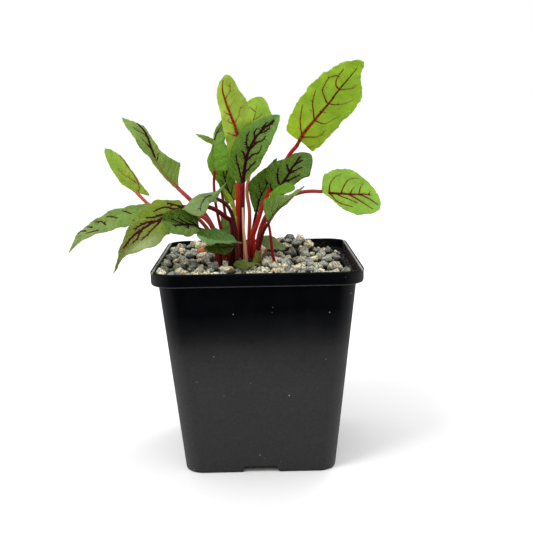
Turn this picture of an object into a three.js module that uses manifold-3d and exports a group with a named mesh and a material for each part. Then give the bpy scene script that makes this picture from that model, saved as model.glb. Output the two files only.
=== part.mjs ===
// Potted bloody dock: a young herb with red-veined leaves in a square nursery pot topped with grit.
// Millimetres, +Z up. The pot stands on z = 0 with its middle on the Z axis, and its front faces -Y.
import * as THREE from 'three';
import { mergeVertices } from 'three/addons/utils/BufferGeometryUtils.js';
import Module from 'manifold-3d';

const wasm = await Module();
wasm.setup();

// Pot: a 9 cm square nursery pot
const RIM = 90;
const POT_HEIGHT = 92;
const BASE = 67;
const WALL = 1.0;
const FLOOR = 1.4;
const LIP = 3.4;
const SKIRT_DROP = 5.4;
const SKIRT_LEAN = 1.2;
const SKIRT_GAP = 1.0;
const RIM_CHAMFER = { wide: 0.5, high: 0.6 };
const INNER_BEVEL = { wide: 0.8, high: 1.4 };
const RIM_CORNER = 10.3;
const BASE_CORNER = 8.1;
const CORNER_STEPS = 5;
const NOTCH = { width: 17, ceiling: 14.5, height: 3, depth: 7 };
const DRAIN = { radius: 3, ring: 21, count: 4, sides: 12 };

// Filling
const CLEARANCE = 0.3;
const SOIL_LEVEL = 84;
const CROWN = { x: -5, y: 1, halfX: 16, halfY: 14, top: 88.6, sunk: 1, bare: 3 };
const BED_TOP = 87.2;
const STONE = {
  pitch: 6.5, stagger: 0.5, scatter: 0.5, size: 5.8, tilt: 1.4, level: 87.5, seed: 11, border: 3.4,
};
const STONE_TOP = { above: 6, gap: 1.1 };
const MOUND = { x: 18, y: 24, reach: 22, rise: 3 };
// Where leaves lie on the stones, which are lower there: x, y, reach and depth
const DIPS = [[-5, -16, 10, 3.4], [8.5, 14, 10, 4.4]];

// Leaves
const BLADE = 0.8;
const RIB_RELIEF = 0.5;
const BLADE_COLUMNS = [0, 0.2, 1];
const ROW_PITCH = 3.2;
const TEETH = 0.25;
const LEAST_WIDTH = 0.3;
const RIPPLES_PER_MM = 0.11;
const RIPPLE_SHIFT = 2;
const STALK_SIDES = 6;
const STALK_PITCH = 6;
const ROOT_Z = 81.5;
const ROOT_PULL = 0.12;
const STATIONS = 5;

// Each leaf: the stalk's and the midrib's points, the way its upper side faces, half-widths in mm at five
// stations from the base towards the tip, how far the base lobes reach back, how far each half folds up in
// degrees, how blunt the tip is, the height of the edge's ripple, and the stalk's radii at foot and neck.
const LEAVES = {
  drooping_far_left: {
    stalk: [[-18.5, 1.5, 88], [-19.5, -1, 99], [-27, -2, 110], [-37.5, -2, 115], [-48, -2, 116]],
    rib: [[-48, -2, 116], [-58.5, -8, 114], [-70.5, -14, 109], [-82, -20, 98]],
    face: [0, -0.75, 0.65], left: [5, 8, 9, 6.5, 1.5], right: [1.5, 2, 3, 2.5, 3],
    lobes: [5, 1], folds: [12, 12], blunt: 1.2, ripple: 0.5, radii: [1.1, 0.8],
  },
  drooping_front_left: {
    stalk: [[-11, -4.5, 88], [-11, -6, 106.5], [-13.5, -7.5, 110.5], [-21, -9.5, 115.5], [-32, -11, 116]],
    rib: [[-32, -11, 116], [-41.5, -17, 111.5], [-47.5, -22, 108.5], [-56.5, -29, 100], [-60.5, -34, 91]],
    face: [-0.1, -0.7, 0.7], left: [5, 8.5, 12, 11.5, 3], right: [4, 9, 7.5, 5, 1.5],
    lobes: [-1, 3], folds: [12, 12], blunt: 1.2, ripple: 0.7, radii: [1.3, 0.9],
  },
  long_upper_left: {
    stalk: [[-16, 5.5, 88], [-19, 6, 100.5], [-24.5, 7, 111], [-31, 8, 117.5], [-36, 10, 122]],
    rib: [[-36, 10, 122], [-43.5, 14, 129.5], [-48.5, 18, 138.5], [-53.5, 23, 149], [-64, 29, 155]],
    face: [0.45, -0.8, 0.2], left: [1.5, 1.5, 3, 7, 5.5], right: [3, 8.5, 5.5, 2.5, 1.5],
    lobes: [0, 0], folds: [12, 12], blunt: 1.2, ripple: 0.4, radii: [1.5, 1],
  },
  bright_left: {
    stalk: [
      [-15.5, 0, 88], [-18.5, 2.5, 100.5], [-24.5, 3, 109.5], [-36, 4, 112.5], [-48, 6, 114.5], [-55, 7, 120.5],
    ],
    rib: [[-55, 7, 120.5], [-59, 9, 128.5], [-64.5, 12, 135.5], [-70.5, 16, 141]],
    face: [0.3, -0.9, 0.2], left: [2, 5, 5.5, 5, 3.5], right: [5, 3.5, 3, 3, 2.5],
    lobes: [-1, 6], folds: [12, 12], blunt: 1.5, ripple: 0.4, radii: [1.2, 0.8],
  },
  rounded_front_left: {
    stalk: [[-16.5, -8, 88], [-17, -11.5, 97], [-20.5, -18, 105], [-24.5, -24.5, 108]],
    rib: [[-24.5, -24.5, 108], [-30.5, -29.5, 109.5], [-39, -35.5, 113]],
    face: [0, -0.55, 0.8], left: [3, 3.5, 5, 6, 6.5], right: [6.5, 10, 11, 9.5, 7.5],
    lobes: [0, 4], folds: [-15, -5], blunt: 2, ripple: 0.4, radii: [1.1, 0.8],
  },
  grey_green_left: {
    stalk: [[-7.5, -7.5, 88], [-10, -9, 108], [-12, -11, 115], [-14.5, -13, 118], [-17, -14, 119.5]],
    rib: [[-17, -14, 119.5], [-20.5, -18, 120.5], [-23, -22, 118.5], [-24.5, -26, 113.5]],
    face: [-0.2, -0.95, 0.25], left: [1.5, 2, 2.5, 3, 3], right: [8.5, 3.5, 4, 5.5, 7.5],
    lobes: [1, 8], folds: [0, 0], blunt: 2, ripple: 0.4, radii: [1.1, 0.8],
  },
  young_strip: {
    stalk: [[-10.3, 0.6, 88], [-9.5, 0, 98.5], [-9.5, 0, 109.5]],
    rib: [[-9.5, 0, 109.5], [-11.5, 1, 116], [-15, 2, 123]],
    face: [0.3, -0.9, 0], left: [1, 0.8, 0.8, 0.8, 0.8], right: [0.8, 1, 1.5, 1.5, 1],
    lobes: [0, 0], folds: [12, 12], blunt: 2, ripple: 0.2, radii: [1, 0.6],
  },
  small_behind_left: {
    stalk: [[-13.5, 9, 88], [-12.5, 8.5, 95.5], [-12, 8, 99]],
    rib: [[-12, 8, 99], [-14, 9, 105], [-17, 10, 110]],
    face: [0.2, -0.9, 0.2], left: [3, 3.5, 3, 2.5, 1], right: [2, 1.5, 1.5, 1, 1],
    lobes: [1, 1], folds: [12, 12], blunt: 2, ripple: 0.2, radii: [0.9, 0.6],
  },
  folded_low_left: {
    stalk: [[-9, -11.5, 88], [-8.5, -13.5, 95.5], [-9, -15.5, 100]],
    rib: [[-9, -15.5, 100.5], [-17.5, -24, 102.5], [-25, -31, 106]],
    face: [0, -0.5, 0.85], left: [0.8, 0.8, 1.5, 2, 4], right: [4, 5, 5.5, 4.5, 3.5],
    lobes: [5, 0.5], folds: [-10, 20], blunt: 2, ripple: 0.3, radii: [0.9, 0.7],
  },
  dark_low_left: {
    stalk: [[-12.5, -9, 88], [-11.5, -11, 94], [-10, -13, 98]],
    rib: [[-10, -13, 98], [-16.5, -16, 98], [-23, -19, 98.5]],
    face: [0, -0.6, 0.75], left: [2, 4, 5, 4.5, 3.5], right: [2, 2.5, 2.5, 2.5, 2],
    lobes: [-1, 1], folds: [12, 12], blunt: 2, ripple: 0.2, radii: [0.9, 0.6],
  },
  tall_centre_left: {
    stalk: [[-7.5, 4, 88], [-8.5, 7, 107], [-8, 8, 123.5], [-7, 7.5, 135.5]],
    rib: [[-7, 7.5, 135.5], [-8.5, 3.5, 148.5], [-13, -0.5, 163], [-12, -5, 173]],
    face: [-0.1, 0.9, 0.1], left: [5.5, 7, 8.5, 9.5, 7], right: [5, 5.5, 5.5, 4, 3.5],
    lobes: [3, 3], folds: [12, 12], blunt: 2, ripple: 0.6, radii: [1.6, 1.1],
  },
  pale_back: {
    stalk: [[-4.5, 12.5, 88], [-4, 13, 97.5], [-4.5, 14, 110], [-5, 15, 120.5], [-2, 16, 132]],
    rib: [[-2, 16, 132], [-1.5, 18, 143.5], [-0.5, 18, 152], [1, 17, 160], [0.5, 16, 163.5]],
    face: [0, 0.95, 0.1], left: [6.5, 8.5, 10, 11, 7.5], right: [6, 7, 7.5, 9, 9],
    lobes: [3, 3], folds: [12, 12], blunt: 2, ripple: 0.6, radii: [1.4, 0.9],
  },
  dark_centre: {
    stalk: [[-7.5, -3, 88], [-7, -3, 100.5], [-6.5, -4, 111], [-6, -3, 125]],
    rib: [[-6, -3, 125], [-4, -1, 136.5], [0, 2, 145], [7.5, 6, 152], [11.5, 8, 155]],
    face: [0.2, -1, 0], left: [5, 6.5, 8, 6.5, 4.5], right: [2.5, 6.5, 7.5, 7.5, 5],
    lobes: [-1, -2], folds: [12, 12], blunt: 1.5, ripple: 0.6, radii: [1.6, 1.1],
  },
  upright_left: {
    stalk: [[-13, 3, 88], [-17, 7, 104.5], [-19, 8, 116], [-19.5, 9, 124.5], [-19, 9, 130]],
    rib: [[-19, 9, 130], [-19.5, 8, 137], [-18.5, 8, 145], [-15, 8, 153.5]],
    face: [0.4, -0.9, 0], left: [3, 3.5, 1.5, 0.8, 1.5], right: [5, 7, 7.5, 6.5, 4.5],
    lobes: [1, 2], folds: [12, 12], blunt: 1.2, ripple: 0.4, radii: [0.9, 0.6],
  },
  broad_behind_left: {
    stalk: [[-9, 9.5, 88], [-10, 11, 104.5], [-11, 12, 116]],
    rib: [[-11, 12, 116], [-13.5, 14, 122], [-15.5, 16, 129.5], [-17, 18, 138.5]],
    face: [0.2, -0.95, 0.1], left: [4, 3.5, 4, 6, 6.5], right: [4, 4.5, 4.5, 3.5, 2.5],
    lobes: [3, 3], folds: [12, 12], blunt: 1.5, ripple: 0.3, radii: [1, 0.7],
  },
  narrow_back_left: {
    stalk: [[-11.5, 12.5, 88], [-14.5, 16, 106], [-17, 19, 125], [-18, 21, 140.5]],
    rib: [[-18, 21, 140.5], [-23, 24, 144], [-28.5, 28, 146.5]],
    face: [0, -0.7, 0.7], left: [0.8, 1, 1.5, 1.5, 1], right: [1.5, 2, 2, 1.5, 1],
    lobes: [0, 0], folds: [12, 12], blunt: 1.2, ripple: 0.1, radii: [0.9, 0.5],
  },
  large_upper_right: {
    stalk: [[-1, 1.5, 88], [-2, 3, 99], [0, 4, 105.5], [3, 6, 114], [6.5, 7, 121], [15, 8, 136], [19, 7, 141]],
    rib: [[19, 7, 141], [27, 3, 153.5], [37, -5, 165.5], [44, -14, 174.5], [46, -17, 177]],
    face: [-0.2, 0.9, 0.3], left: [10.5, 13.5, 14.5, 13.5, 6.5], right: [9, 10, 11, 11, 8.5],
    lobes: [0, -6], folds: [12, 12], blunt: 2, ripple: 0.8, radii: [1.6, 1.1],
  },
  rounded_right: {
    stalk: [
      [0.5, -3, 88], [0.5, -2, 99], [4, -0.5, 109.5], [11, 0, 116.5],
      [19, 0, 120], [24.5, -2, 121], [29.5, -4, 121],
    ],
    rib: [[29.5, -4, 121], [39.5, -9, 120], [48, -15, 120], [53.5, -20, 116]],
    face: [0, -0.9, 0.35], left: [6, 11, 11, 8.5, 4.5], right: [2, 6, 8, 10, 10],
    lobes: [2, -5], folds: [12, 12], blunt: 2, ripple: 0.6, radii: [1.3, 0.9],
  },
  folded_right: {
    stalk: [[-1.5, -7, 88], [1.5, -7.5, 99], [3, -9, 104], [5.5, -11, 108.5]],
    rib: [[5.5, -11, 108.5], [9, -13, 113.5], [15.5, -16, 119.5], [21, -19, 125]],
    face: [-0.3, -0.6, 0.7], left: [9, 9, 6.5, 3, 1.5], right: [1, 1, 1, 0.8, 0.6],
    lobes: [-2, 0], folds: [12, 12], blunt: 1.2, ripple: 0.3, radii: [1.3, 0.8],
  },
  small_bright_right: {
    stalk: [[8, -7, 88], [7, -7, 93], [6, -6, 103.5], [5, -5, 110.5], [6.5, -5, 119]],
    rib: [[6.5, -5, 119], [11, -7, 122], [17.5, -9, 123.5]],
    face: [0, -0.7, 0.7], left: [2, 2, 2.5, 3.5, 3], right: [2, 2, 2.5, 3.5, 3],
    lobes: [1, 1], folds: [12, 12], blunt: 2, ripple: 0.2, radii: [0.8, 0.5],
  },
  dark_right: {
    stalk: [[1, 5, 88], [1.5, 5, 98.5], [4.5, 4.5, 108.5], [8.5, 3, 118.5]],
    rib: [[8.5, 3, 118.5], [12, 2, 124], [16, 0.5, 130.5], [21, -1, 135], [26.5, -2, 134.5]],
    face: [-0.2, -0.9, 0.3], left: [6.5, 9.5, 10, 6, 3.5], right: [3, 4.5, 5.5, 6, 8],
    lobes: [-4, 1], folds: [12, 12], blunt: 2, ripple: 0.5, radii: [1.3, 0.9],
  },
  dark_behind_right: {
    stalk: [[-2.5, 7.5, 88], [-2.5, 8.5, 95.5], [-1.5, 10, 103.5], [0, 11, 110.5]],
    rib: [[0, 11, 110.5], [3, 12, 118.5], [6, 12, 125], [10, 11, 135.5]],
    face: [-0.2, -0.95, 0.1], left: [1.5, 5, 8, 6.5, 3], right: [2, 2.5, 2, 2, 1.5],
    lobes: [2, 1], folds: [12, 12], blunt: 1.5, ripple: 0.3, radii: [1.3, 0.9],
  },
  low_back_right: {
    stalk: [[3.5, 9.5, 88], [3.5, 10.5, 90.5], [4.5, 12, 92.5]],
    rib: [[4.5, 12, 92.5], [8, 14, 93.5], [13.5, 16, 91.5]],
    face: [0, -0.5, 0.85], left: [6.5, 6.5, 5.5, 3.5, 2.5], right: [2, 1, 1, 2, 2],
    lobes: [4, -2], folds: [30, 0], blunt: 2, ripple: 0.2, radii: [0.9, 0.6],
  },
  low_front: {
    stalk: [[1.5, -10.5, 88], [0, -11.5, 89.5], [-1.5, -12.5, 90]],
    rib: [[-1.5, -12.5, 90], [-6, -15, 90.5], [-10.5, -18, 90.5]],
    face: [0, -0.6, 0.8], left: [2, 3, 3.5, 4.5, 4.5], right: [1, 1, 2.5, 2.5, 2],
    lobes: [0, -1], folds: [12, 12], blunt: 2, ripple: 0.2, radii: [0.8, 0.5],
  },
};

// A pale petiole with no open blade, in the middle of the crown
const YOUNG_SHOOT = { points: [[-4, -2, 88], [-5, -2, 99], [-6, -1, 110]], radii: [1.4, 0.5] };

const COLOURS = {
  pot: { color: 0x191c20, roughness: 0.42, metalness: 0 },
  soil: { color: 0x2a2019, roughness: 1, metalness: 0 },
  gravel: { color: 0x9a968a, roughness: 0.95, metalness: 0 },
  blade: { color: 0x5c9436, roughness: 0.6, metalness: 0 },
  stalk: { color: 0xa52630, roughness: 0.45, metalness: 0 },
};

// A repeatable random number in 0..1 (the mulberry32 recipe)
function seeded(seed) {
  let state = seed;
  return () => {
    state = (state + 0x6d2b79f5) | 0;
    let mixed = Math.imul(state ^ (state >>> 15), 1 | state);
    mixed = (mixed + Math.imul(mixed ^ (mixed >>> 7), 61 | mixed)) ^ mixed;
    return ((mixed ^ (mixed >>> 14)) >>> 0) / 4294967296;
  };
}

const vector = (p) => new THREE.Vector3(...p);
const TOWARDS_FRONT = vector([0, -1, 0]);

// Solids between manifold-3d and three.js
function solidOf(geometry) {
  const bare = geometry.clone();
  bare.deleteAttribute('normal');
  bare.deleteAttribute('uv');
  const merged = mergeVertices(bare, 1e-4);
  return new wasm.Manifold(new wasm.Mesh({
    numProp: 3,
    vertProperties: Float32Array.from(merged.attributes.position.array),
    triVerts: Uint32Array.from(merged.index.array),
  }));
}

function geometryOf(solid) {
  const mesh = solid.getMesh();
  const geometry = new THREE.BufferGeometry();
  geometry.setAttribute('position', new THREE.BufferAttribute(mesh.vertProperties, 3));
  geometry.setIndex(new THREE.BufferAttribute(mesh.triVerts, 1));
  return geometry;
}

// The biggest separate body of a solid, without the crumbs that a cut leaves
function largest(solid) {
  return solid.decompose().sort((a, b) => b.volume() - a.volume())[0];
}

// A closed skin through rings of points, each ring with the same count, capped at both ends
function skin(rings) {
  const count = rings[0].length;
  const positions = rings.flat().flatMap((p) => [p.x, p.y, p.z]);
  const faces = [];
  for (let ring = 0; ring < rings.length - 1; ring += 1) {
    for (let k = 0; k < count; k += 1) {
      const a = ring * count + k;
      const b = ring * count + ((k + 1) % count);
      faces.push(a, b, b + count, a, b + count, a + count);
    }
  }
  const last = (rings.length - 1) * count;
  for (let k = 1; k < count - 1; k += 1) {
    faces.push(0, k + 1, k, last, last + k, last + k + 1);
  }
  const geometry = new THREE.BufferGeometry();
  geometry.setAttribute('position', new THREE.Float32BufferAttribute(positions, 3));
  geometry.setIndex(faces);
  return geometry;
}

// A square with round corners at height z, anticlockwise from above
function roundedSquare(half, corner, z) {
  const ring = [];
  for (let quarter = 0; quarter < 4; quarter += 1) {
    const middle = (Math.PI / 2) * quarter + Math.PI / 4;
    const cx = Math.sign(Math.cos(middle)) * (half - corner);
    const cy = Math.sign(Math.sin(middle)) * (half - corner);
    for (let step = 0; step <= CORNER_STEPS; step += 1) {
      const angle = (Math.PI / 2) * (quarter + step / CORNER_STEPS);
      ring.push(new THREE.Vector3(cx + corner * Math.cos(angle), cy + corner * Math.sin(angle), z));
    }
  }
  return ring;
}

// The pot's inner half-size and corner at a height
const SKIRT_FOOT = POT_HEIGHT - SKIRT_DROP;
const WALL_TOP_HALF = RIM / 2 - LIP + 0.2;
function wallHalf(z) {
  return THREE.MathUtils.mapLinear(z, 0, SKIRT_FOOT, BASE / 2, WALL_TOP_HALF);
}
function innerRing(z, gap) {
  return roundedSquare(wallHalf(z) - WALL - gap, BASE_CORNER - WALL - gap, z);
}

function pot() {
  const flange = POT_HEIGHT - WALL;
  const half = RIM / 2;
  const skirtFootHalf = half - SKIRT_LEAN;
  const shell = solidOf(skin([
    roundedSquare(wallHalf(0), BASE_CORNER, 0),
    roundedSquare(wallHalf(flange), BASE_CORNER, flange),
    roundedSquare(wallHalf(flange) + SKIRT_GAP, BASE_CORNER + SKIRT_GAP, flange),
    roundedSquare(skirtFootHalf - WALL, RIM_CORNER - WALL, SKIRT_FOOT),
    roundedSquare(skirtFootHalf, RIM_CORNER, SKIRT_FOOT),
    roundedSquare(half, RIM_CORNER, POT_HEIGHT - RIM_CHAMFER.high),
    roundedSquare(half - RIM_CHAMFER.wide, RIM_CORNER - RIM_CHAMFER.wide, POT_HEIGHT),
    roundedSquare(half - LIP + INNER_BEVEL.wide, BASE_CORNER + INNER_BEVEL.wide, POT_HEIGHT),
    innerRing(POT_HEIGHT - INNER_BEVEL.high, 0),
    innerRing(FLOOR, 0),
  ]));
  const cuts = [];
  for (let side = 0; side < 4; side += 1) {
    const profile = new THREE.Shape();
    profile.moveTo(-NOTCH.width / 2, -1);
    profile.lineTo(NOTCH.width / 2, -1);
    profile.lineTo(NOTCH.ceiling / 2, NOTCH.height);
    profile.lineTo(-NOTCH.ceiling / 2, NOTCH.height);
    const notch = new THREE.ExtrudeGeometry(profile, { depth: NOTCH.depth, bevelEnabled: false });
    notch.rotateX(Math.PI / 2);
    notch.translate(0, -BASE / 2 + NOTCH.depth - 1, 0);
    notch.rotateZ((Math.PI / 2) * side);
    cuts.push(solidOf(notch));
  }
  for (let k = 0; k < DRAIN.count; k += 1) {
    const hole = new THREE.CylinderGeometry(DRAIN.radius, DRAIN.radius, 4 * FLOOR, DRAIN.sides);
    hole.rotateX(Math.PI / 2);
    const angle = (Math.PI / 2) * k + Math.PI / 4;
    hole.translate(DRAIN.ring * Math.cos(angle), DRAIN.ring * Math.sin(angle), FLOOR / 2);
    cuts.push(solidOf(hole));
  }
  return geometryOf(cuts.reduce((solid, cut) => solid.subtract(cut), shell));
}

// A low dome of soil that carries the crown
function crownDome(grow) {
  const dome = new THREE.SphereGeometry(1, 16, 8);
  dome.rotateX(Math.PI / 2);
  const rise = CROWN.top - SOIL_LEVEL + CROWN.sunk;
  dome.scale(CROWN.halfX + grow, CROWN.halfY + grow, rise + grow);
  dome.translate(CROWN.x, CROWN.y, SOIL_LEVEL - CROWN.sunk);
  return solidOf(dome);
}

function soil(holes) {
  const bottom = FLOOR + CLEARANCE;
  const body = solidOf(skin([
    innerRing(bottom, CLEARANCE),
    innerRing(SOIL_LEVEL, CLEARANCE),
  ]));
  return geometryOf(body.add(crownDome(0)).subtract(holes));
}

// Height of the stones' middles over the bed
function stoneLevel(x, y) {
  const bump = (cx, cy, reach) => Math.max(0, 1 - ((x - cx) ** 2 + (y - cy) ** 2) / reach ** 2);
  const rise = MOUND.rise * bump(MOUND.x, MOUND.y, MOUND.reach);
  const dip = DIPS.reduce((sum, [cx, cy, reach, depth]) => sum + depth * bump(cx, cy, reach), 0);
  return STONE.level + rise - dip;
}

function gravel(holes) {
  const random = seeded(STONE.seed);
  const around = (spread) => (random() - 0.5) * spread;
  const half = wallHalf(BED_TOP) - WALL - CLEARANCE;
  const parts = [solidOf(skin([
    innerRing(SOIL_LEVEL + CLEARANCE, CLEARANCE),
    innerRing(BED_TOP, CLEARANCE),
  ]))];
  const limit = half - STONE.border;
  const rows = Math.floor((2 * limit) / STONE.pitch);
  for (let row = 0; row <= rows; row += 1) {
    for (let column = 0; column <= rows; column += 1) {
      const stagger = (row % 2 - 0.5) * STONE.stagger;
      const across = column - rows / 2 + stagger + around(STONE.scatter);
      const x = THREE.MathUtils.clamp(across * STONE.pitch, -limit, limit);
      const y = THREE.MathUtils.clamp((row - rows / 2 + around(STONE.scatter)) * STONE.pitch, -limit, limit);
      const stone = new THREE.BoxGeometry(1, 1, 1);
      const solid = mergeVertices(stone.deleteAttribute('normal').deleteAttribute('uv'), 1e-4);
      const corners = solid.attributes.position;
      for (let k = 0; k < corners.count; k += 1) {
        corners.setXYZ(k,
          corners.getX(k) * (0.75 + 0.4 * random()),
          corners.getY(k) * (0.75 + 0.4 * random()),
          corners.getZ(k) * (0.75 + 0.4 * random()));
      }
      const size = STONE.size * (0.85 + 0.35 * random());
      solid.scale(size, size * (0.75 + 0.25 * random()), size * (0.6 + 0.3 * random()));
      solid.applyQuaternion(new THREE.Quaternion().setFromEuler(
        new THREE.Euler(around(STONE.tilt), around(STONE.tilt), random() * Math.PI)));
      const lift = (random() - 0.3) * 1.0;
      solid.translate(x, y, stoneLevel(x, y) + lift);
      const inCrown = Math.hypot(
        (x - CROWN.x) / (CROWN.halfX - CROWN.bare), (y - CROWN.y) / (CROWN.halfY - CROWN.bare)) < 1;
      const inCorner = Math.hypot(Math.max(Math.abs(x) - half + BASE_CORNER, 0),
        Math.max(Math.abs(y) - half + BASE_CORNER, 0)) > BASE_CORNER - STONE.border;
      if (!inCrown && !inCorner) parts.push(solidOf(solid));
    }
  }
  const inside = solidOf(skin([
    innerRing(SOIL_LEVEL + CLEARANCE, CLEARANCE),
    innerRing(POT_HEIGHT + STONE_TOP.above, STONE_TOP.gap),
  ]));
  const whole = wasm.Manifold.union(parts).intersect(inside).subtract(crownDome(CLEARANCE)).subtract(holes);
  return geometryOf(largest(whole));
}

// Points and unit tangents evenly along a smooth curve
function along(points, steps) {
  const curve = new THREE.CatmullRomCurve3(points.map(vector), false, 'catmullrom', 0.5);
  curve.arcLengthDivisions = 200;
  const spots = [];
  for (let step = 0; step <= steps; step += 1) {
    const t = step / steps;
    spots.push({ t, point: curve.getPointAt(t), tangent: curve.getTangentAt(t) });
  }
  return { spots, length: curve.getLength() };
}

// The stalk's route, rooted below its foot and leaning in towards the crown's middle
function stalkRoute(points) {
  const [x, y] = points[0];
  const root = [x + (CROWN.x - x) * ROOT_PULL, y + (CROWN.y - y) * ROOT_PULL, ROOT_Z];
  return [root, ...points];
}

// A tapered round stalk that ends a clearance short of its neck. Where it cuts a hole it is grown all round
// and past both ends instead.
function stalk(points, radii, grow = 0) {
  const route = stalkRoute(points);
  const { length } = along(route, 4);
  const steps = Math.max(4, Math.round(length / STALK_PITCH));
  const { spots } = along(route, steps);
  const neckShift = grow > 0 ? grow : -CLEARANCE;
  const rings = spots.map(({ t, point, tangent }, index) => {
    const side = new THREE.Vector3().crossVectors(tangent, TOWARDS_FRONT).normalize();
    const front = new THREE.Vector3().crossVectors(side, tangent).normalize();
    const radius = THREE.MathUtils.lerp(radii[0], radii[1], t) + grow;
    const centre = point.clone();
    if (index === 0) centre.addScaledVector(tangent, -grow);
    if (index === steps) centre.addScaledVector(tangent, neckShift);
    return Array.from({ length: STALK_SIDES }, (_, k) => {
      const angle = (2 * Math.PI * k) / STALK_SIDES;
      return centre.clone()
        .addScaledVector(side, radius * Math.cos(angle))
        .addScaledVector(front, -radius * Math.sin(angle));
    });
  });
  return solidOf(skin(rings));
}

// Half-width at t between base 0 and tip 1: a smooth curve through the stations' values
function halfWidth(widths, t, blunt) {
  const powers = [...widths.map((w) => w ** blunt), 0];
  const place = Math.min(t * STATIONS, STATIONS - 1e-9);
  const k = Math.floor(place);
  const f = place - k;
  const before = k === 0 ? powers[0] : powers[k - 1];
  const after = k === STATIONS - 1 ? -powers[k] : powers[k + 2];
  const [a, b, c, d] = [before, powers[k], powers[k + 1], after];
  const linear = (c - a) * f;
  const square = (2 * a - 5 * b + 4 * c - d) * f ** 2;
  const cube = (3 * b - a - 3 * c + d) * f ** 3;
  return Math.max(b + 0.5 * (linear + square + cube), 0) ** (1 / blunt);
}

// A blade: rows across the midrib, each from the left edge to the right one, with the same split on both faces
function blade(leaf) {
  const { length } = along(leaf.rib, 4);
  const rows = Math.max(6, Math.round(length / ROW_PITCH));
  const { spots } = along(leaf.rib, rows);
  const face = vector(leaf.face);
  const back = spots[0].tangent.clone().negate();
  const sides = [
    ...BLADE_COLUMNS.slice(1).reverse().map((u) => ({ u, hand: -1 })),
    { u: 0, hand: 1 },
    ...BLADE_COLUMNS.slice(1).map((u) => ({ u, hand: 1 })),
  ];
  const top = [];
  const bottom = [];
  spots.forEach(({ t, point, tangent }, row) => {
    const normal = face.clone().addScaledVector(tangent, -face.dot(tangent)).normalize();
    const across = new THREE.Vector3().crossVectors(tangent, normal);
    const tooth = (row % 2) * TEETH;
    for (const { u, hand } of sides) {
      const left = hand < 0;
      const fold = THREE.MathUtils.degToRad(leaf.folds[left ? 0 : 1]);
      const width = Math.max(halfWidth(left ? leaf.left : leaf.right, t, leaf.blunt) - tooth, LEAST_WIDTH);
      const reach = (left ? leaf.lobes[0] : leaf.lobes[1]) * u ** 1.5 * (1 - t) ** 4;
      const ripple = leaf.ripple * u * u * Math.sin(Math.PI * t)
        * Math.sin(2 * Math.PI * RIPPLES_PER_MM * length * t + (left ? 0 : RIPPLE_SHIFT));
      const spot = point.clone()
        .addScaledVector(across, hand * Math.cos(fold) * width * u)
        .addScaledVector(normal, Math.sin(fold) * width * u + ripple)
        .addScaledVector(back, reach);
      top.push(spot.clone().addScaledVector(normal, BLADE / 2));
      const relief = u === 0 ? RIB_RELIEF * (1 - t) : 0;
      bottom.push(spot.clone().addScaledVector(normal, -BLADE / 2 - relief));
    }
  });
  const columns = sides.length;
  const points = [...top, ...bottom];
  const faces = [];
  const quad = (a, b, c, d) => faces.push(a, b, c, a, c, d);
  for (let row = 0; row < rows; row += 1) {
    for (let column = 0; column < columns - 1; column += 1) {
      const a = row * columns + column;
      quad(a, a + 1, a + 1 + columns, a + columns);
      const b = a + top.length;
      faces.push(b, b + 1 + columns, b + 1, b, b + columns, b + 1 + columns);
    }
    const left = row * columns;
    const right = left + columns - 1;
    quad(left, left + columns, left + columns + top.length, left + top.length);
    quad(right, right + top.length, right + columns + top.length, right + columns);
  }
  for (let column = 0; column < columns - 1; column += 1) {
    const base = column;
    const tip = rows * columns + column;
    quad(base, base + top.length, base + 1 + top.length, base + 1);
    quad(tip, tip + 1, tip + 1 + top.length, tip + top.length);
  }
  const geometry = new THREE.BufferGeometry();
  geometry.setAttribute('position', new THREE.Float32BufferAttribute(points.flatMap((p) => p.toArray()), 3));
  geometry.setIndex(faces);
  return solidOf(geometry);
}

const plant = new THREE.Group();
plant.name = 'potted_bloody_dock';

function add(name, geometry, finish) {
  const mesh = new THREE.Mesh(geometry, new THREE.MeshStandardMaterial(COLOURS[finish]));
  mesh.name = name;
  plant.add(mesh);
}

const shoot = stalk(YOUNG_SHOOT.points, YOUNG_SHOOT.radii);
const holeParts = [stalk(YOUNG_SHOOT.points, YOUNG_SHOOT.radii, CLEARANCE)];
for (const [name, leaf] of Object.entries(LEAVES)) {
  const clearance = stalk(leaf.stalk, leaf.radii, CLEARANCE);
  holeParts.push(clearance);
  add(`${name}_blade`, geometryOf(largest(blade(leaf).subtract(clearance))), 'blade');
  add(`${name}_stalk`, geometryOf(stalk(leaf.stalk, leaf.radii)), 'stalk');
}
const holes = wasm.Manifold.union(holeParts);
add('young_shoot', geometryOf(shoot), 'stalk');
add('pot', pot(), 'pot');
add('soil', soil(holes), 'soil');
add('gravel', gravel(holes), 'gravel');

export default plant;
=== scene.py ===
# %% [markdown]
# A potted bloody dock
# This lesson dresses a small potted herb: a square black nursery pot, a bed of grit, and red-veined
# leaves on red stalks. The CAD model already holds every part as a plain solid, and the frame brings it
# into Blender at its true size. Each leaf is made again here as a finer piece on nearly the same curve,
# so it stays where its solid is. Sizes are in millimetres in the code, and become metres when a mesh is
# made. The materials, lamps and camera count in metres.

# %% The frame and its units
import math
import random

import bmesh
import bpy
import numpy as np
from mathutils import Matrix, Vector


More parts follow.
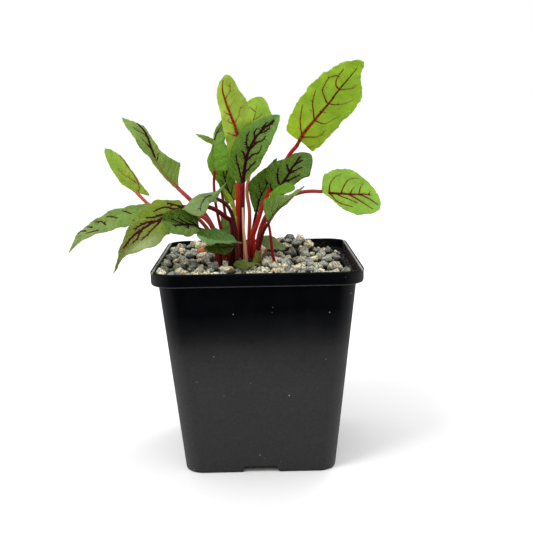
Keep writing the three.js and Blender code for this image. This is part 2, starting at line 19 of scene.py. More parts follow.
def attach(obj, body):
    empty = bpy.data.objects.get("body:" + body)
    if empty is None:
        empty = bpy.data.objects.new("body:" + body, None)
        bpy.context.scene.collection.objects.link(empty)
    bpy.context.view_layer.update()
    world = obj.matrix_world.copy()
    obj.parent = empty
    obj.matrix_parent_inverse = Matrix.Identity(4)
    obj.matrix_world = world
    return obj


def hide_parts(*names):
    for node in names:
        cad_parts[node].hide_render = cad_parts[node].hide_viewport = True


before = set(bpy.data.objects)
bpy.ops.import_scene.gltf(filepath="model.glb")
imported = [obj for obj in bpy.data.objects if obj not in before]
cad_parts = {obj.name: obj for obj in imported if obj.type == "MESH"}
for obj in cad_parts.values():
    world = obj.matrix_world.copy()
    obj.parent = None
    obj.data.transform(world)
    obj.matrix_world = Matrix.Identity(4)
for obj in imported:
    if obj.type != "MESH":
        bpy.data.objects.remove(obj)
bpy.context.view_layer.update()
MM = 0.001


def new_object(name, data):
    """A new object in the scene."""
    thing = bpy.data.objects.new(name, data)
    bpy.context.scene.collection.objects.link(thing)
    return thing


print("CAD nodes:", len(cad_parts))

# %% [markdown]
# The camera comes first, because every later choice is judged through it. Its place and angle were
# found by matching the corners of the pot's rim and base. The lens is given for a square picture on a
# 36 mm sensor.

# %% The camera
PICTURE = 533
FOCAL_PIXELS = 824.3
SENSOR = 36.0
CAMERA_AT = Vector((1.2, -374.9, 158.4)) * MM
PITCH_DOWN = 0.190
TURN_RIGHT = 0.008
ROLL = -0.017

camera_data = bpy.data.cameras.new("camera")
camera_data.sensor_width = SENSOR
camera_data.lens = FOCAL_PIXELS / PICTURE * SENSOR
camera = new_object("camera", camera_data)
turn = Matrix.Rotation(-TURN_RIGHT, 4, "Z")
pitch = Matrix.Rotation(math.pi / 2 - PITCH_DOWN, 4, "X")
roll = Matrix.Rotation(ROLL, 4, "Z")
camera.matrix_world = Matrix.Translation(CAMERA_AT) @ turn @ pitch @ roll
bpy.context.scene.camera = camera
print("lens in mm:", round(camera_data.lens, 2))

# %% [markdown]
# Materials and the sky are built from small nodes again and again, so a few helpers keep that short.
# Each material is a recipe on Object coordinates or on values that the mesh carries, so it stays put
# when the part is turned. A colour is written as RRGGBB, as one number for a grey, or as three linear
# values.

# %% Helpers for nodes
def linear(hex_colour):
    """A colour written as RRGGBB, as the linear values that a shader wants."""
    values = [int(hex_colour[k:k + 2], 16) / 255 for k in (0, 2, 4)]
    return tuple(v / 12.92 if v <= 0.04045 else ((v + 0.055) / 1.055) ** 2.4 for v in values)


def rgba(colour):
    if isinstance(colour, str):
        colour = linear(colour)
    elif not isinstance(colour, tuple):
        colour = (colour,) * 3
    return (*colour, 1)


class Nodes:
    """Short calls for the nodes of one tree."""

    def __init__(self, tree, place):
        self.tree = tree
        self.place = self.add("ShaderNodeTexCoord").outputs[place]

    def add(self, kind, **settings):
        node = self.tree.nodes.new(kind)
        for name, value in settings.items():
            setattr(node, name, value)
        return node

    def feed(self, socket, value):
        """Wires a node's output into a socket, or sets the socket's own value."""
        if isinstance(value, bpy.types.NodeSocket):
            self.tree.links.new(value, socket)
        else:
            socket.default_value = rgba(value) if socket.type == "RGBA" else value

    def fill(self, node, **inputs):
        """Feeds a node's sockets by their names, with underscores for the spaces."""
        for name, value in inputs.items():
            self.feed(node.inputs[name.replace("_", " ")], value)
        return node

    def noise(self, scale, detail=3.0, rough=0.55, place=None):
        node = self.add("ShaderNodeTexNoise")
        self.fill(node, Scale=scale, Detail=detail, Roughness=rough, Vector=place or self.place)
        return node.outputs["Fac"]

    def cells(self, scale, feature="F1"):
        node = self.add("ShaderNodeTexVoronoi", feature=feature)
        return self.fill(node, Scale=scale, Vector=self.place).outputs["Distance"]

    def stretch(self, scale):
        node = self.add("ShaderNodeMapping")
        return self.fill(node, Scale=scale, Vector=self.place).outputs["Vector"]

    def axes(self):
        """The place's three numbers, as three outputs."""
        node = self.add("ShaderNodeSeparateXYZ")
        return self.fill(node, Vector=self.place).outputs

    def between(self, value, low, high, to_low=0.0, to_high=1.0):
        node = self.add("ShaderNodeMapRange")
        self.fill(node, Value=value, From_Min=low, From_Max=high, To_Min=to_low, To_Max=to_high)
        return node.outputs["Result"]

    def combine(self, first, second, operation="ADD"):
        node = self.add("ShaderNodeMath", operation=operation)
        self.feed(node.inputs[0], first)
        self.feed(node.inputs[1], second)
        return node.outputs[0]

    def product(self, first, *others):
        for other in others:
            first = self.combine(first, other, "MULTIPLY")
        return first

    def gap(self, first, second):
        """How far two numbers are apart."""
        return self.combine(self.combine(first, second, "SUBTRACT"), 0.0, "ABSOLUTE")

    def mix(self, factor, first, second, blend="MIX"):
        node = self.add("ShaderNodeMix", data_type="RGBA", blend_type=blend)
        return self.fill(node, Factor=factor, A=first, B=second).outputs["Result"]

    def times(self, first, second):
        return self.mix(1.0, first, second, "MULTIPLY")

    def ramp(self, value, stops, stepped=False):
        node = self.add("ShaderNodeValToRGB")
        self.feed(node.inputs["Fac"], value)
        node.color_ramp.interpolation = "CONSTANT" if stepped else "LINEAR"
        elements = node.color_ramp.elements
        while len(elements) < len(stops):
            elements.new(0.5)
        for element, (position, colour) in zip(elements, stops):
            element.position = position
            element.color = rgba(colour)
        return node.outputs["Color"]

    def carried(self, name, kind="Fac"):
        """A value that the mesh carries."""
        return self.add("ShaderNodeAttribute", attribute_name=name).outputs[kind]


class Recipe(Nodes):
    """A new material with one Principled shader."""

    def __init__(self, name):
        self.material = bpy.data.materials.new(name)
        self.material.use_nodes = True
        super().__init__(self.material.node_tree, "Object")
        self.shader = self.tree.nodes["Principled BSDF"]

    def set(self, **inputs):
        self.fill(self.shader, **inputs)

    def bump(self, height, strength, distance):
        node = self.add("ShaderNodeBump")
        normal = self.fill(node, Height=height, Strength=strength, Distance=distance).outputs["Normal"]
        self.set(Normal=normal)
        return normal


print("example colour:", [round(v, 3) for v in linear("8AAC34")])

# %% [markdown]
# A studio shot on white needs a floor that runs out of sight and light from nearly everywhere. A big
# soft lamp at the upper left adds the direction that the photograph shows, with its faint shadow to the
# right. The floor is left out of glossy reflections, and below the horizon the sky is dark in front and
# paler at the sides, so that the black plastic stays black in the middle and catches light only along
# its edges.

# %% Floor, lamps and sky
FLOOR_REACH = 4.0
FLOOR_GREY = 0.96
GLOW_STARTS = 0.35
GLOW_FULL = 0.9
GLOW = 0.15
ZENITH = 1.06
HORIZON = 0.34
FRONT_SHADE = 0.03
SIDE_SHADE = 1.0

floor_corners = [(x * FLOOR_REACH, y * FLOOR_REACH, 0) for x, y in ((-1, -1), (1, -1), (1, 1), (-1, 1))]
floor_mesh = bpy.data.meshes.new("floor")
floor_mesh.from_pydata(floor_corners, [], [(0, 1, 2, 3)])
studio_floor = Recipe("studio_floor")
reach = studio_floor.add("ShaderNodeVectorMath", operation="LENGTH")
studio_floor.feed(reach.inputs[0], studio_floor.place)
glow = studio_floor.between(reach.outputs["Value"], GLOW_STARTS, GLOW_FULL, 0.0, GLOW)
studio_floor.set(Base_Color=FLOOR_GREY, Roughness=0.9, Specular_IOR_Level=0.0,
                 Emission_Color=1.0, Emission_Strength=glow)
floor_mesh.materials.append(studio_floor.material)
floor = new_object("floor", floor_mesh)
floor.visible_glossy = False


def soft_lamp(name, place, aim, size, watts):
    data = bpy.data.lights.new(name, "AREA")
    data.shape = "DISK"
    data.size = size
    data.energy = watts
    lamp = new_object(name, data)
    lamp.location = place
    lamp.rotation_euler = (Vector(aim) - Vector(place)).to_track_quat("-Z", "Y").to_euler()


soft_lamp("key_lamp", (-0.45, -0.42, 0.75), (0, 0, 0.10), 0.36, 3.6)
soft_lamp("back_lamp", (0.35, 0.55, 0.65), (0, 0, 0.12), 0.35, 1.3)

world = bpy.data.worlds.new("studio")
world.use_nodes = True
sky = Nodes(world.node_tree, "Generated")
across, _, up = sky.axes()
below = sky.between(sky.combine(across, 0.0, "ABSOLUTE"), 0.3, 0.9, FRONT_SHADE, SIDE_SHADE)
above = sky.between(up, 0.0, 0.6, HORIZON, ZENITH)
in_reflections = sky.between(up, -0.02, 0.02, below, above)
to_camera = sky.add("ShaderNodeLightPath").outputs["Is Camera Ray"]
brightness = sky.fill(sky.add("ShaderNodeMix"), Factor=to_camera, A=in_reflections, B=1.0)
sky.fill(sky.tree.nodes["Background"], Color=1.0, Strength=brightness.outputs["Result"])
bpy.context.scene.world = world
bpy.context.scene.view_settings.view_transform = "Standard"

# %% [markdown]
# Pieces are made from points and faces in plain lists. These helpers scale them to metres, store the
# values that the materials read, and tie each finished piece to the part's one body.

# %% Helpers for meshes
BODY = "root"
TRIANGLES = {}
LAYERS = {1: ("FLOAT", "value"), 3: ("FLOAT_VECTOR", "vector"), 4: ("FLOAT_COLOR", "color")}


def make_mesh(name, points, faces, **carried):
    """A smooth mesh from points in mm, which carry the named numbers, vectors or colours."""
    mesh = bpy.data.meshes.new(name)
    mesh.from_pydata((np.asarray(points, float) * MM).tolist(), [], faces)
    for key, values in carried.items():
        table = np.asarray(values, dtype=np.float32).reshape(len(points), -1)
        kind, field = LAYERS[table.shape[1]]
        mesh.attributes.new(key, kind, "POINT").data.foreach_set(field, table.ravel())
    mesh.shade_smooth()
    mesh.update()
    return mesh


def mesh_of(shape, name):
    """The mesh of a bmesh, which is freed."""
    mesh = bpy.data.meshes.new(name)
    shape.to_mesh(mesh)
    shape.free()
    return mesh


def tube(centres, first, second, sizes, sides, dent=lambda angle: 1.0):
    """Points and faces of a capped tube, with a ring round each centre across two unit directions."""
    rings = []
    for k in range(sides):
        angle = 2 * math.pi * k / sides
        way = first * math.cos(angle) + second * math.sin(angle)
        rings.append(centres + way * (sizes * dent(angle))[:, None])
    points = np.stack(rings, 1).reshape(-1, 3)
    index = np.arange(len(points)).reshape(-1, sides)
    following = np.roll(index, -1, axis=1)
    quads = np.stack([index[:-1], following[:-1], following[1:], index[1:]], -1).reshape(-1, 4)
    return points, quads.tolist() + [index[0][::-1].tolist(), index[-1].tolist()]


def finish_piece(thing, replaced=(), material=None):
    """Ties a piece to the body, sets its material, hides the CAD parts it replaces, counts its triangles.
    """
    if material:
        thing.data.materials.clear()
        thing.data.materials.append(material)
    TRIANGLES[thing.name] = sum(len(p.vertices) - 2 for p in thing.data.polygons)
    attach(thing, BODY)
    if replaced:
        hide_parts(*replaced)


def evaluated_copy(thing, name):
    """The mesh that a thing's modifiers make, on a new object without them."""
    graph = bpy.context.evaluated_depsgraph_get()
    mesh = bpy.data.meshes.new_from_object(
        thing.evaluated_get(graph), preserve_all_data_layers=True, depsgraph=graph)
    mesh.name = name
    bpy.data.objects.remove(thing)
    return new_object(name, mesh)


# %% [markdown]
# The pot is thin pressed plastic. It tapers, its corners are round, and near the top the wall steps out
# into an upright band, with a narrow ledge inside. Turning a profile wouldn't do, because the plan is
# square, so rings of rounded squares are stacked along one closed profile: up the outside, over the rim
# and down the inside. Notches and drain holes are cut after.

# %% Pot sizes
RIM_HALF = 45.0
POT_HEIGHT = 92.0
BASE_HALF = 33.5
WALL = 1.0
FLOOR_THICK = 1.4
LIP = 3.4
SKIRT_FOOT = 86.3
SKIRT_HALF = RIM_HALF - 0.45
LEDGE = SKIRT_FOOT + 1.1
RIM_CORNER = 10.3
BASE_CORNER = 8.1
CORNER_STEPS = 12
NOTCH_HALF = 8.5
NOTCH_CEILING_HALF = 7.25
NOTCH_HEIGHT = 3.0
NOTCH_DEPTH = 7.0
DRAIN_RADIUS = 3.0
DRAIN_RING = 21.0
SHARP_ANGLE = 38


def rounded_square(half, corner, z):
    ring = []
    for quarter in range(4):
        middle = math.pi / 2 * quarter + math.pi / 4
        cx = math.copysign(half - corner, math.cos(middle))
        cy = math.copysign(half - corner, math.sin(middle))
        for step in range(CORNER_STEPS + 1):
            angle = math.pi / 2 * (quarter + step / CORNER_STEPS)
            ring.append((cx + corner * math.cos(angle), cy + corner * math.sin(angle), z))
    return ring


def wall_half(z):
    """The outer wall's half-size at a height."""
    return BASE_HALF + (RIM_HALF - LIP + 0.2 - BASE_HALF) * z / SKIRT_FOOT


def wall_ring(z, inset=0.0):
    return rounded_square(wall_half(z) - inset, BASE_CORNER - inset, z)


def rings_near(half, corner, z, steps):
    """Rings close to one edge of the pot, each some way out from its half-size, corner and height."""
    return [rounded_square(half + out, corner + rounder, z + rise) for out, rounder, rise in steps]


def skin(rings):
    """Points and faces of a closed skin through equal rings, capped at both ends."""
    count = len(rings[0])
    points = [p for ring in rings for p in ring]
    faces = []
    for k in range(len(rings) - 1):
        for j in range(count):
            a = k * count + j
            b = k * count + (j + 1) % count
            faces.append((a, b, b + count, a + count))
    faces.append(tuple(reversed(range(count))))
    faces.append(tuple(range(len(points) - count, len(points))))
    return points, faces


# %% The pot's shell, with its notches and drain holes
profile = [
    wall_ring(0.0, 0.8),
    *rings_near(wall_half(0), BASE_CORNER, 0.0, [(-0.25, -0.25, 0.2)]),
    *[wall_ring(z) for z in (0.8, 1.5, 30.0, 60.0, SKIRT_FOOT - 1.2, SKIRT_FOOT - 0.5)],
    *rings_near(wall_half(SKIRT_FOOT), BASE_CORNER, SKIRT_FOOT, [(0.3, 0.3, -0.05)]),
    *rings_near(SKIRT_HALF, RIM_CORNER, SKIRT_FOOT, [
        (-0.5, -0.5, 0.0), (-0.05, -0.05, 0.15), (0.12, 0.0, 0.5), (0.25, 0.0, 1.1)]),
    *rings_near(RIM_HALF, RIM_CORNER, POT_HEIGHT, [
        (-0.2, 0.0, -1.5), (-0.1, 0.0, -0.6), (-0.12, 0.0, -0.2), (-0.3, -0.2, -0.03), (-0.6, -0.5, 0.0),
        (-1.2, -1.1, 0.0), (-1.42, -1.3, -0.1), (-1.5, -1.4, -0.4), (-1.52, -1.42, -0.9)]),
    *rings_near(SKIRT_HALF - WALL, RIM_CORNER - WALL, LEDGE, [
        (0.05, 0.0, 1.0), (0.0, 0.0, 0.4), (-0.3, -0.3, 0.0)]),
    *rings_near(wall_half(LEDGE) - WALL, BASE_CORNER - WALL, LEDGE, [(0.3, 0.3, -0.1)]),
    *[wall_ring(z, WALL) for z in (LEDGE - 0.6, 60.0, FLOOR_THICK)],
]
shell = new_object("pot_raw", make_mesh("pot_raw", *skin(profile)))

BOX_FACES = ((0, 1, 2, 3), (7, 6, 5, 4), (0, 4, 5, 1), (1, 5, 6, 2), (2, 6, 7, 3), (3, 7, 4, 0))
cutters = bmesh.new()
for side in range(4):
    around = Matrix.Rotation(math.pi / 2 * side, 4, "Z")
    verts = []
    for y in (-BASE_HALF - 1, -BASE_HALF + NOTCH_DEPTH - 1):
        for x, z in ((-NOTCH_HALF, -1), (NOTCH_HALF, -1),
                     (NOTCH_CEILING_HALF, NOTCH_HEIGHT), (-NOTCH_CEILING_HALF, NOTCH_HEIGHT)):
            verts.append(cutters.verts.new(around @ (Vector((x, y, z)) * MM)))
    for face in BOX_FACES:
        cutters.faces.new([verts[k] for k in face])
for side in range(4):
    angle = math.pi / 2 * side + math.pi / 4
    spot = Vector((DRAIN_RING * math.cos(angle), DRAIN_RING * math.sin(angle), FLOOR_THICK / 2)) * MM
    bmesh.ops.create_cone(
        cutters, cap_ends=True, segments=24, radius1=DRAIN_RADIUS * MM, radius2=DRAIN_RADIUS * MM,
        depth=4 * FLOOR_THICK * MM, matrix=Matrix.Translation(spot))
bmesh.ops.recalc_face_normals(cutters, faces=cutters.faces)
cutter = new_object("pot_cutters", mesh_of(cutters, "pot_cutters"))
cut = shell.modifiers.new("cuts", "BOOLEAN")
cut.operation = "DIFFERENCE"
cut.solver = "EXACT"
cut.object = cutter
pot = evaluated_copy(shell, "pot_shell")
bpy.data.objects.remove(cutter)
pot.data.set_sharp_from_angle(angle=math.radians(SHARP_ANGLE))
print("pot faces:", len(pot.data.polygons))

# %% [markdown]
# The plastic is near black, with a satin skin. Low on the wall it is painted greyer, as a painted
# reflection of the pale floor, and near the rim it is deep black. A gradient along Z makes that, and
# noises add smudges, a fine film and a few pale specks of grit dust. Two thin painted highlights are
# paler: one along the foot of the band, one along the top of the rim at the left and right. A fine bump
# breaks the reflections.

# %% Pot plastic
REFLECTION_STARTS = 0.075
REFLECTION_FULL = 0.040
DEEP_BLACK = "020307"
REFLECTED_GREY = "353535"

plastic = Recipe("satin_black_plastic")
across, _, up = plastic.axes()
# Painted reflection: low on the wall the black is painted greyer, standing in for the pale floor mirrored
# there.
wobble = plastic.combine(up, plastic.between(plastic.noise(25), 0, 1, -0.006, 0.006))
painted_reflection = plastic.ramp(plastic.between(wobble, REFLECTION_STARTS, REFLECTION_FULL), [
    (0.0, 0.0), (0.2, 0.10), (0.36, 0.30), (0.52, 0.62), (0.7, 0.80), (1.0, 0.95)])
tone = plastic.mix(painted_reflection, DEEP_BLACK, REFLECTED_GREY)
smudge = plastic.between(plastic.noise(60, 5), 0.35, 0.75, 0.85, 1.25)
tone = plastic.times(tone, plastic.ramp(smudge, [(0.0, 0.8), (1.0, 1.0)]))
tone = plastic.times(tone, plastic.ramp(plastic.noise(900, 4, 0.7), [(0.38, 0.91), (0.62, 1.09)]))
speck = plastic.between(plastic.cells(240), 0.075, 0.05)
rare = plastic.between(plastic.noise(90, 1), 0.57, 0.62)
tone = plastic.mix(plastic.product(speck, rare), tone, "9A968A")
# Painted highlight: a thin pale line along the foot of the band.
under_line = plastic.between(plastic.combine(up, (SKIRT_FOOT + 0.1) * MM, "SUBTRACT"), 0.0005, 0.0)
above_foot = plastic.between(plastic.combine(up, (SKIRT_FOOT - 0.3) * MM, "SUBTRACT"), 0.0, 0.0001)
tone = plastic.mix(plastic.product(under_line, above_foot), tone, "4C4C4A")
# Painted highlight: a pale, patchy line along the top of the rim at the left and right.
from_line = plastic.gap(plastic.combine(across, 0.0, "ABSOLUTE"), (RIM_HALF - 1.3) * MM)
near_top = plastic.between(up, (POT_HEIGHT - 0.9) * MM, (POT_HEIGHT - 0.4) * MM)
patchy = plastic.between(plastic.noise(110, 3), 0.3, 0.6, 0.45, 1.0)
painted_rim_highlight = plastic.product(plastic.between(from_line, 0.0005, 0.0002), near_top, patchy)
tone = plastic.mix(painted_rim_highlight, tone, "A4A4A0")
skin_rough = plastic.between(plastic.noise(140, 4), 0.3, 0.7, 0.30, 0.42)
on_top = plastic.between(up, (POT_HEIGHT - 0.7) * MM, (POT_HEIGHT - 0.1) * MM, 0.0, 0.45)
plastic.set(Base_Color=tone, Roughness=plastic.combine(skin_rough, on_top), IOR=1.24)
plastic.bump(plastic.noise(900, 2), 0.12, 0.0002)
finish_piece(pot, ["pot"], plastic.material)
print("pot triangles:", TRIANGLES["pot_shell"])

# %% [markdown]
# Peaty soil fills the pot under the grit. Its CAD solid has the right shape, so it stays and only gets
# a finish: dark damp brown with paler fibres, and a coarse bump.

# %% Potting soil
peat = Recipe("damp_peat")
clod = peat.noise(260, 6, 0.7)
shade = peat.ramp(clod, [(0.3, "120D0A"), (0.55, "2A1E16"), (0.75, "4A3828")])
fibre = peat.between(peat.noise(1.0, 3, 0.6, peat.stretch((900, 200, 900))), 0.68, 0.74)
peat.set(Base_Color=peat.mix(fibre, shade, "6B543A"), Roughness=0.95)
peat.bump(clod, 0.9, 0.0012)
soil_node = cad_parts["soil"]
soil_node.material_slots[0].material = peat.material

# %% [markdown]
# Every leaf follows one rule, the same as in the CAD model. A midrib is a smooth curve. At each point
# across it, the blade reaches left and right by a half-width that is read from five stations a side.
# The halves fold up a little, the base lobes reach back, the edge ripples, and fine teeth cut into it.

# %% Curves and the leaf rule
STATIONS = 5
CURVE_STEPS = 60
RIPPLES_PER_MM = 0.11
RIPPLE_SHIFT = 2.0
TOOTH_LENGTH = 2.9
SMALL_TOOTH_LENGTH = 1.7
FRILL_LENGTH = 5.3
LEAST_WIDTH = 0.12


def smooth_between(a, b, c, d, f):
    """The smooth curve from b to c at share f, where a comes before and d after."""
    return b + 0.5 * ((c - a) * f + (2 * a - 5 * b + 4 * c - d) * f ** 2 + (3 * b - a - 3 * c + d) * f ** 3)


def trace(points, steps):
    """Even spots along a smooth curve, their unit tangents and the curve's length."""
    knots = [np.array(p, float) for p in points]
    knots = [2 * knots[0] - knots[1], *knots, 2 * knots[-1] - knots[-2]]
    shares = np.linspace(0, 1, CURVE_STEPS, endpoint=False)[:, None]
    dense = [smooth_between(*knots[k:k + 4], shares) for k in range(len(points) - 1)]
    dense = np.concatenate([*dense, [knots[-2]]])
    run = np.concatenate([[0], np.cumsum(np.linalg.norm(np.diff(dense, axis=0), axis=1))])
    even = np.linspace(0, run[-1], steps + 1)
    spots = np.stack([np.interp(even, run, dense[:, k]) for k in range(3)], 1)
    tangents = np.gradient(spots, axis=0)
    tangents /= np.linalg.norm(tangents, axis=1)[:, None]
    return spots, tangents, run[-1]


def square_to(vectors, directions):
    """Unit vectors, each freed of what it has along its direction."""
    vectors = vectors - (vectors * directions).sum(1)[:, None] * directions
    return vectors / np.linalg.norm(vectors, axis=1)[:, None]


def half_width(stations, t, blunt):
    """Half-width at t between base 0 and tip 1."""
    powers = np.array([*stations, 0.0]) ** blunt
    padded = np.concatenate([[powers[0]], powers, [-powers[-2]]])
    place = np.clip(t * STATIONS, 0, STATIONS - 1e-6)
    k = place.astype(int)
    value = smooth_between(*(padded[k + j] for j in range(4)), place - k)
    return np.maximum(value, 0) ** (1 / blunt)


class Blade:
    """One leaf's surface: gives points, normals and flat places for t along it and u across it, -1 to 1."""

    def __init__(self, leaf):
        self.leaf = leaf
        self.spots, self.tangents, self.length = trace(leaf["rib"], 240)
        self.normals = square_to(np.array([leaf["face"]] * len(self.spots), float), self.tangents)
        self.across = np.cross(self.tangents, self.normals)
        self.ruler = np.linspace(0, 1, len(self.spots))

    def read(self, rows, t):
        return np.stack([np.interp(t, self.ruler, rows[:, k]) for k in range(3)], -1)

    def wave(self, t, length, shift):
        """A ripple along the leaf, with one crest every so many mm."""
        return np.sin(2 * np.pi * t * self.length / length + shift)

    def width(self, t, u):
        leaf = self.leaf
        left = half_width(leaf["left"], t, leaf["blunt"])
        right = half_width(leaf["right"], t, leaf["blunt"])
        wave = self.wave(t, TOOTH_LENGTH, u) + 0.6 * self.wave(t, SMALL_TOOTH_LENGTH, 2 * u)
        cut = leaf["teeth"] * 0.45 * (1 + wave / 1.6)
        return np.maximum(np.where(u > 0, right, left) - cut, LEAST_WIDTH)

    def back(self, t, u):
        """How far the base lobes reach back past the midrib's foot."""
        lobe = np.where(u > 0, self.leaf["lobes"][1], self.leaf["lobes"][0])
        rounding = min(self.leaf["rounding"], self.length / 9)
        rounding *= 1 - np.sqrt(np.clip(1 - u ** 2, 0, 1))
        return lobe * np.abs(u) ** 1.5 * (1 - t) ** 4 - rounding * (1 - t) ** 8

    def flat(self, t, u):
        """The place on the blade as if it were pressed flat, in mm."""
        return np.stack([u * self.width(t, u), t * self.length - self.back(t, u)], -1)

    def point(self, t, u):
        leaf = self.leaf
        reach = np.abs(u)
        fold = np.radians(np.where(u > 0, leaf["folds"][1], leaf["folds"][0]))
        width = self.width(t, u)
        shift = np.where(u > 0, RIPPLE_SHIFT, 0.0)
        ripple = leaf["ripple"] * reach ** 2 * np.sin(np.pi * t) * self.wave(t, 1 / RIPPLES_PER_MM, shift)
        frill = leaf["frill"] * reach ** 5 * self.wave(t, FRILL_LENGTH, 3 * u)
        normal = self.read(self.normals, t)
        side = np.sign(u) * np.cos(fold) * width * reach
        lift = np.sin(fold) * width * reach + ripple + frill
        spot = self.read(self.spots, t) + self.read(self.across, t) * side[..., None]
        spot = spot + normal * lift[..., None] - self.tangents[0] * self.back(t, u)[..., None]
        return spot, normal


# %% [markdown]
# The leaf table starts from the CAD model's numbers. A few midribs, half-widths and stalks were then
# corrected by up to some millimetres, where the render and the photograph still differed. An entry
# gives the points of the stalk and of the midrib, which goes on from the stalk's last point or from a
# neck of its own. It gives the way the blade faces, its half-widths from base to tip on both sides, how
# far its lobes reach back, how steeply its halves fold in degrees, and the stalk's radii at foot and
# neck. The colours follow, and then the veins, as short lists of places on the blade: how far along the
# midrib, and how far out towards the edge, with the left half negative. They were read off the
# photograph.

# %% What most leaves share
LEAVES = {}
ORDINARY = dict(
    folds=(12, 12), blunt=2, teeth=0.25, frill=0.15, rounding=3.2, start=0.0, quilt=0.26,
    midrib=[(0, 0), (.75, 0)], rib_size=0.8, veins=[], bold=0.2, twigs=0)

# %% The leaves on the left
LEAVES["drooping_far_left"] = dict(
    stalk=[(-18.5, 1.5, 88), (-19.5, -1, 99), (-27, -2, 110), (-37.5, -2, 115), (-48, -2, 116)],
    rib=[(-58.5, -8, 114), (-70.5, -14, 109), (-82, -20, 98)],
    face=(0, -0.75, 0.65), left=[5, 8, 9, 6.5, 1.5], right=[1.5, 2, 3, 2.5, 3],
    lobes=(5, 1), blunt=1.2, ripple=0.5, radii=(1.1, 0.8),
    upper="7C9A4C", tip="869C66", stems=("8E2A1C", "A5504A"), vein="4A1820", ribs=("93A05A", "8AA060"),
    veins=[[(.73, .4), (.76, .85), (.8, .92)], [(.66, .15), (.69, .8)], [(.54, -.4), (.55, .05), (.6, .5)],
           [(.4, -.25), (.43, 0), (.48, .3)], [(.25, -.3), (.28, -.05), (.31, .3)],
           [(.64, -.6), (.69, -.4), (.74, 0)], [(.22, -.9), (.3, -.85)]],
    bold=0.38, twigs=0.3, rib_line=0)
LEAVES["drooping_front_left"] = dict(
    stalk=[(-11, -4.5, 88), (-11, -6, 106.5), (-13.5, -7.5, 110.5), (-21, -9.5, 115.5), (-32, -11, 116)],
    rib=[(-41.5, -17, 111.5), (-47.5, -22, 108.5), (-56.5, -29, 100), (-60.5, -34, 91)],
    face=(-0.1, -0.7, 0.7), left=[3.5, 8, 12, 11.5, 3], right=[5, 9.5, 7.5, 5, 1.5], rounding=5,
    lobes=(-1, 3), blunt=1.2, ripple=0.7, radii=(1.3, 0.9),
    upper="7A922C", tip="585A34", stems=("40060C", "70121E"), vein="46060C", ribs=("5E0810", "4E080E"),
    midrib=[(0, 0), (.28, 0), (.36, 0), (.46, .06), (.55, .2), (.65, .25), (.74, .25)],
    veins=[[(0, 0), (.09, .12), (.15, .44), (.23, .5), (.28, .56)], [(.01, .05), (.08, .5), (.12, .7)],
           [(.18, .05), (.25, .2), (.33, .3), (.38, .5)], [(.33, 0), (.43, .3), (.49, .44), (.54, .56)],
           [(.28, -.05), (.34, -.2), (.45, -.3), (.59, -.33)], [(.5, .1), (.58, -.1), (.66, -.15)]],
    bold=0.62, twigs=0.8, rib_line=0.75, spot=(0.62, -0.75, 0.14, 0.4, "A8B484"))
LEAVES["long_upper_left"] = dict(
    stalk=[(-16, 5.5, 88), (-19, 6, 100.5), (-24.5, 7, 111), (-31, 8, 117.5), (-36, 10, 122)],
    rib=[(-43.5, 14, 129.5), (-48.5, 18, 138.5), (-53.5, 23, 149), (-64, 29, 155)],
    face=(0.45, -0.8, 0.2), left=[1.5, 1.5, 3, 7, 5.5], right=[1.2, 9.4, 5.2, 2.5, 1.5],
    lobes=(0, 0), blunt=1.2, ripple=0.4, radii=(1.5, 1),
    upper="708C3C", tip="86A656", stems=("8A1A14", "A84440"), vein="3E0612", ribs=("A8403A", "6A8A3A"),
    midrib=[(0, 0), (.3, -.1), (.43, 0), (.54, .06), (.61, .12), (.69, .19), (.76, .35), (.82, .75)],
    dark_rib=[(.41, -.02), (.48, .03), (.54, .06), (.61, .12), (.69, .19), (.76, .35), (.82, .75)],
    veins=[[(.62, .1), (.69, -.2), (.74, -.44), (.81, -.4)], [(.5, 0), (.58, -.3), (.63, -.5)],
           [(.37, .05), (.4, .25), (.44, .56)]],
    bold=0.3, twigs=0.4, rib_line=0.55)
LEAVES["bright_left"] = dict(
    stalk=[(-15.5, 0, 88), (-18.5, 2.5, 100.5), (-24.5, 3, 109.5), (-36, 4, 112.5), (-48, 6, 114.5),
           (-55, 7, 120.5)],
    rib=[(-59, 9, 128.5), (-64.5, 12, 135.5), (-70.5, 16, 141)],
    face=(0.3, -0.9, 0.2), left=[2, 5, 5.5, 5, 3.5], right=[5, 3.5, 3, 3, 2.5],
    lobes=(-1, 6), blunt=1.5, ripple=0.4, radii=(1.2, 0.8),
    upper="94AC3A", tip="84AA46", stems=("8E201A", "C05A4C"), vein="7A2A18", ribs=("B0A850", "8A4A2C"),
    midrib=[(0, 0), (.12, .5), (.25, .76), (.39, .82), (.53, .86), (.7, .9)], rib_size=0.6,
    veins=[[(.2, .5), (.26, .1), (.38, -.3), (.53, -.44)], [(.45, .8), (.6, .86), (.72, .88)]],
    twigs=0.1, rib_line=0.22)
LEAVES["rounded_front_left"] = dict(
    stalk=[(-16.5, -8, 88), (-17, -11.5, 97), (-20.5, -18, 105), (-24.5, -24.5, 108)],
    rib=[(-30.5, -29.5, 109.5), (-39, -35.5, 113)],
    face=(0, -0.55, 0.8), left=[3, 3.5, 4.7, 5, 5], right=[10, 10, 9.5, 8.5, 6.5], rounding=1,
    lobes=(0, 3), folds=(-15, 18), blunt=2.6, ripple=0.4, radii=(1.1, 0.8),
    # The paler lower-half colour is painted sheen, where the blade's lower half catches the sky.
    upper="34560A", tip="3A5E0E", lower_half="688840", stems=("5A1018", "6A2028"), vein="1E040C",
    ribs=("2A0610", "1E040C"), midrib=[(0, 0), (.16, .19), (.43, .12), (.73, -.1)],
    veins=[[(.02, .1), (.1, .25), (.24, .4), (.34, .52)], [(.22, .16), (.36, .26), (.5, .38), (.58, .46)],
           [(.4, .12), (.55, .2), (.66, .27), (.76, .3)], [(.3, .12), (.33, -.12)]],
    bold=0.52, twigs=0.5, rib_line=0.6)
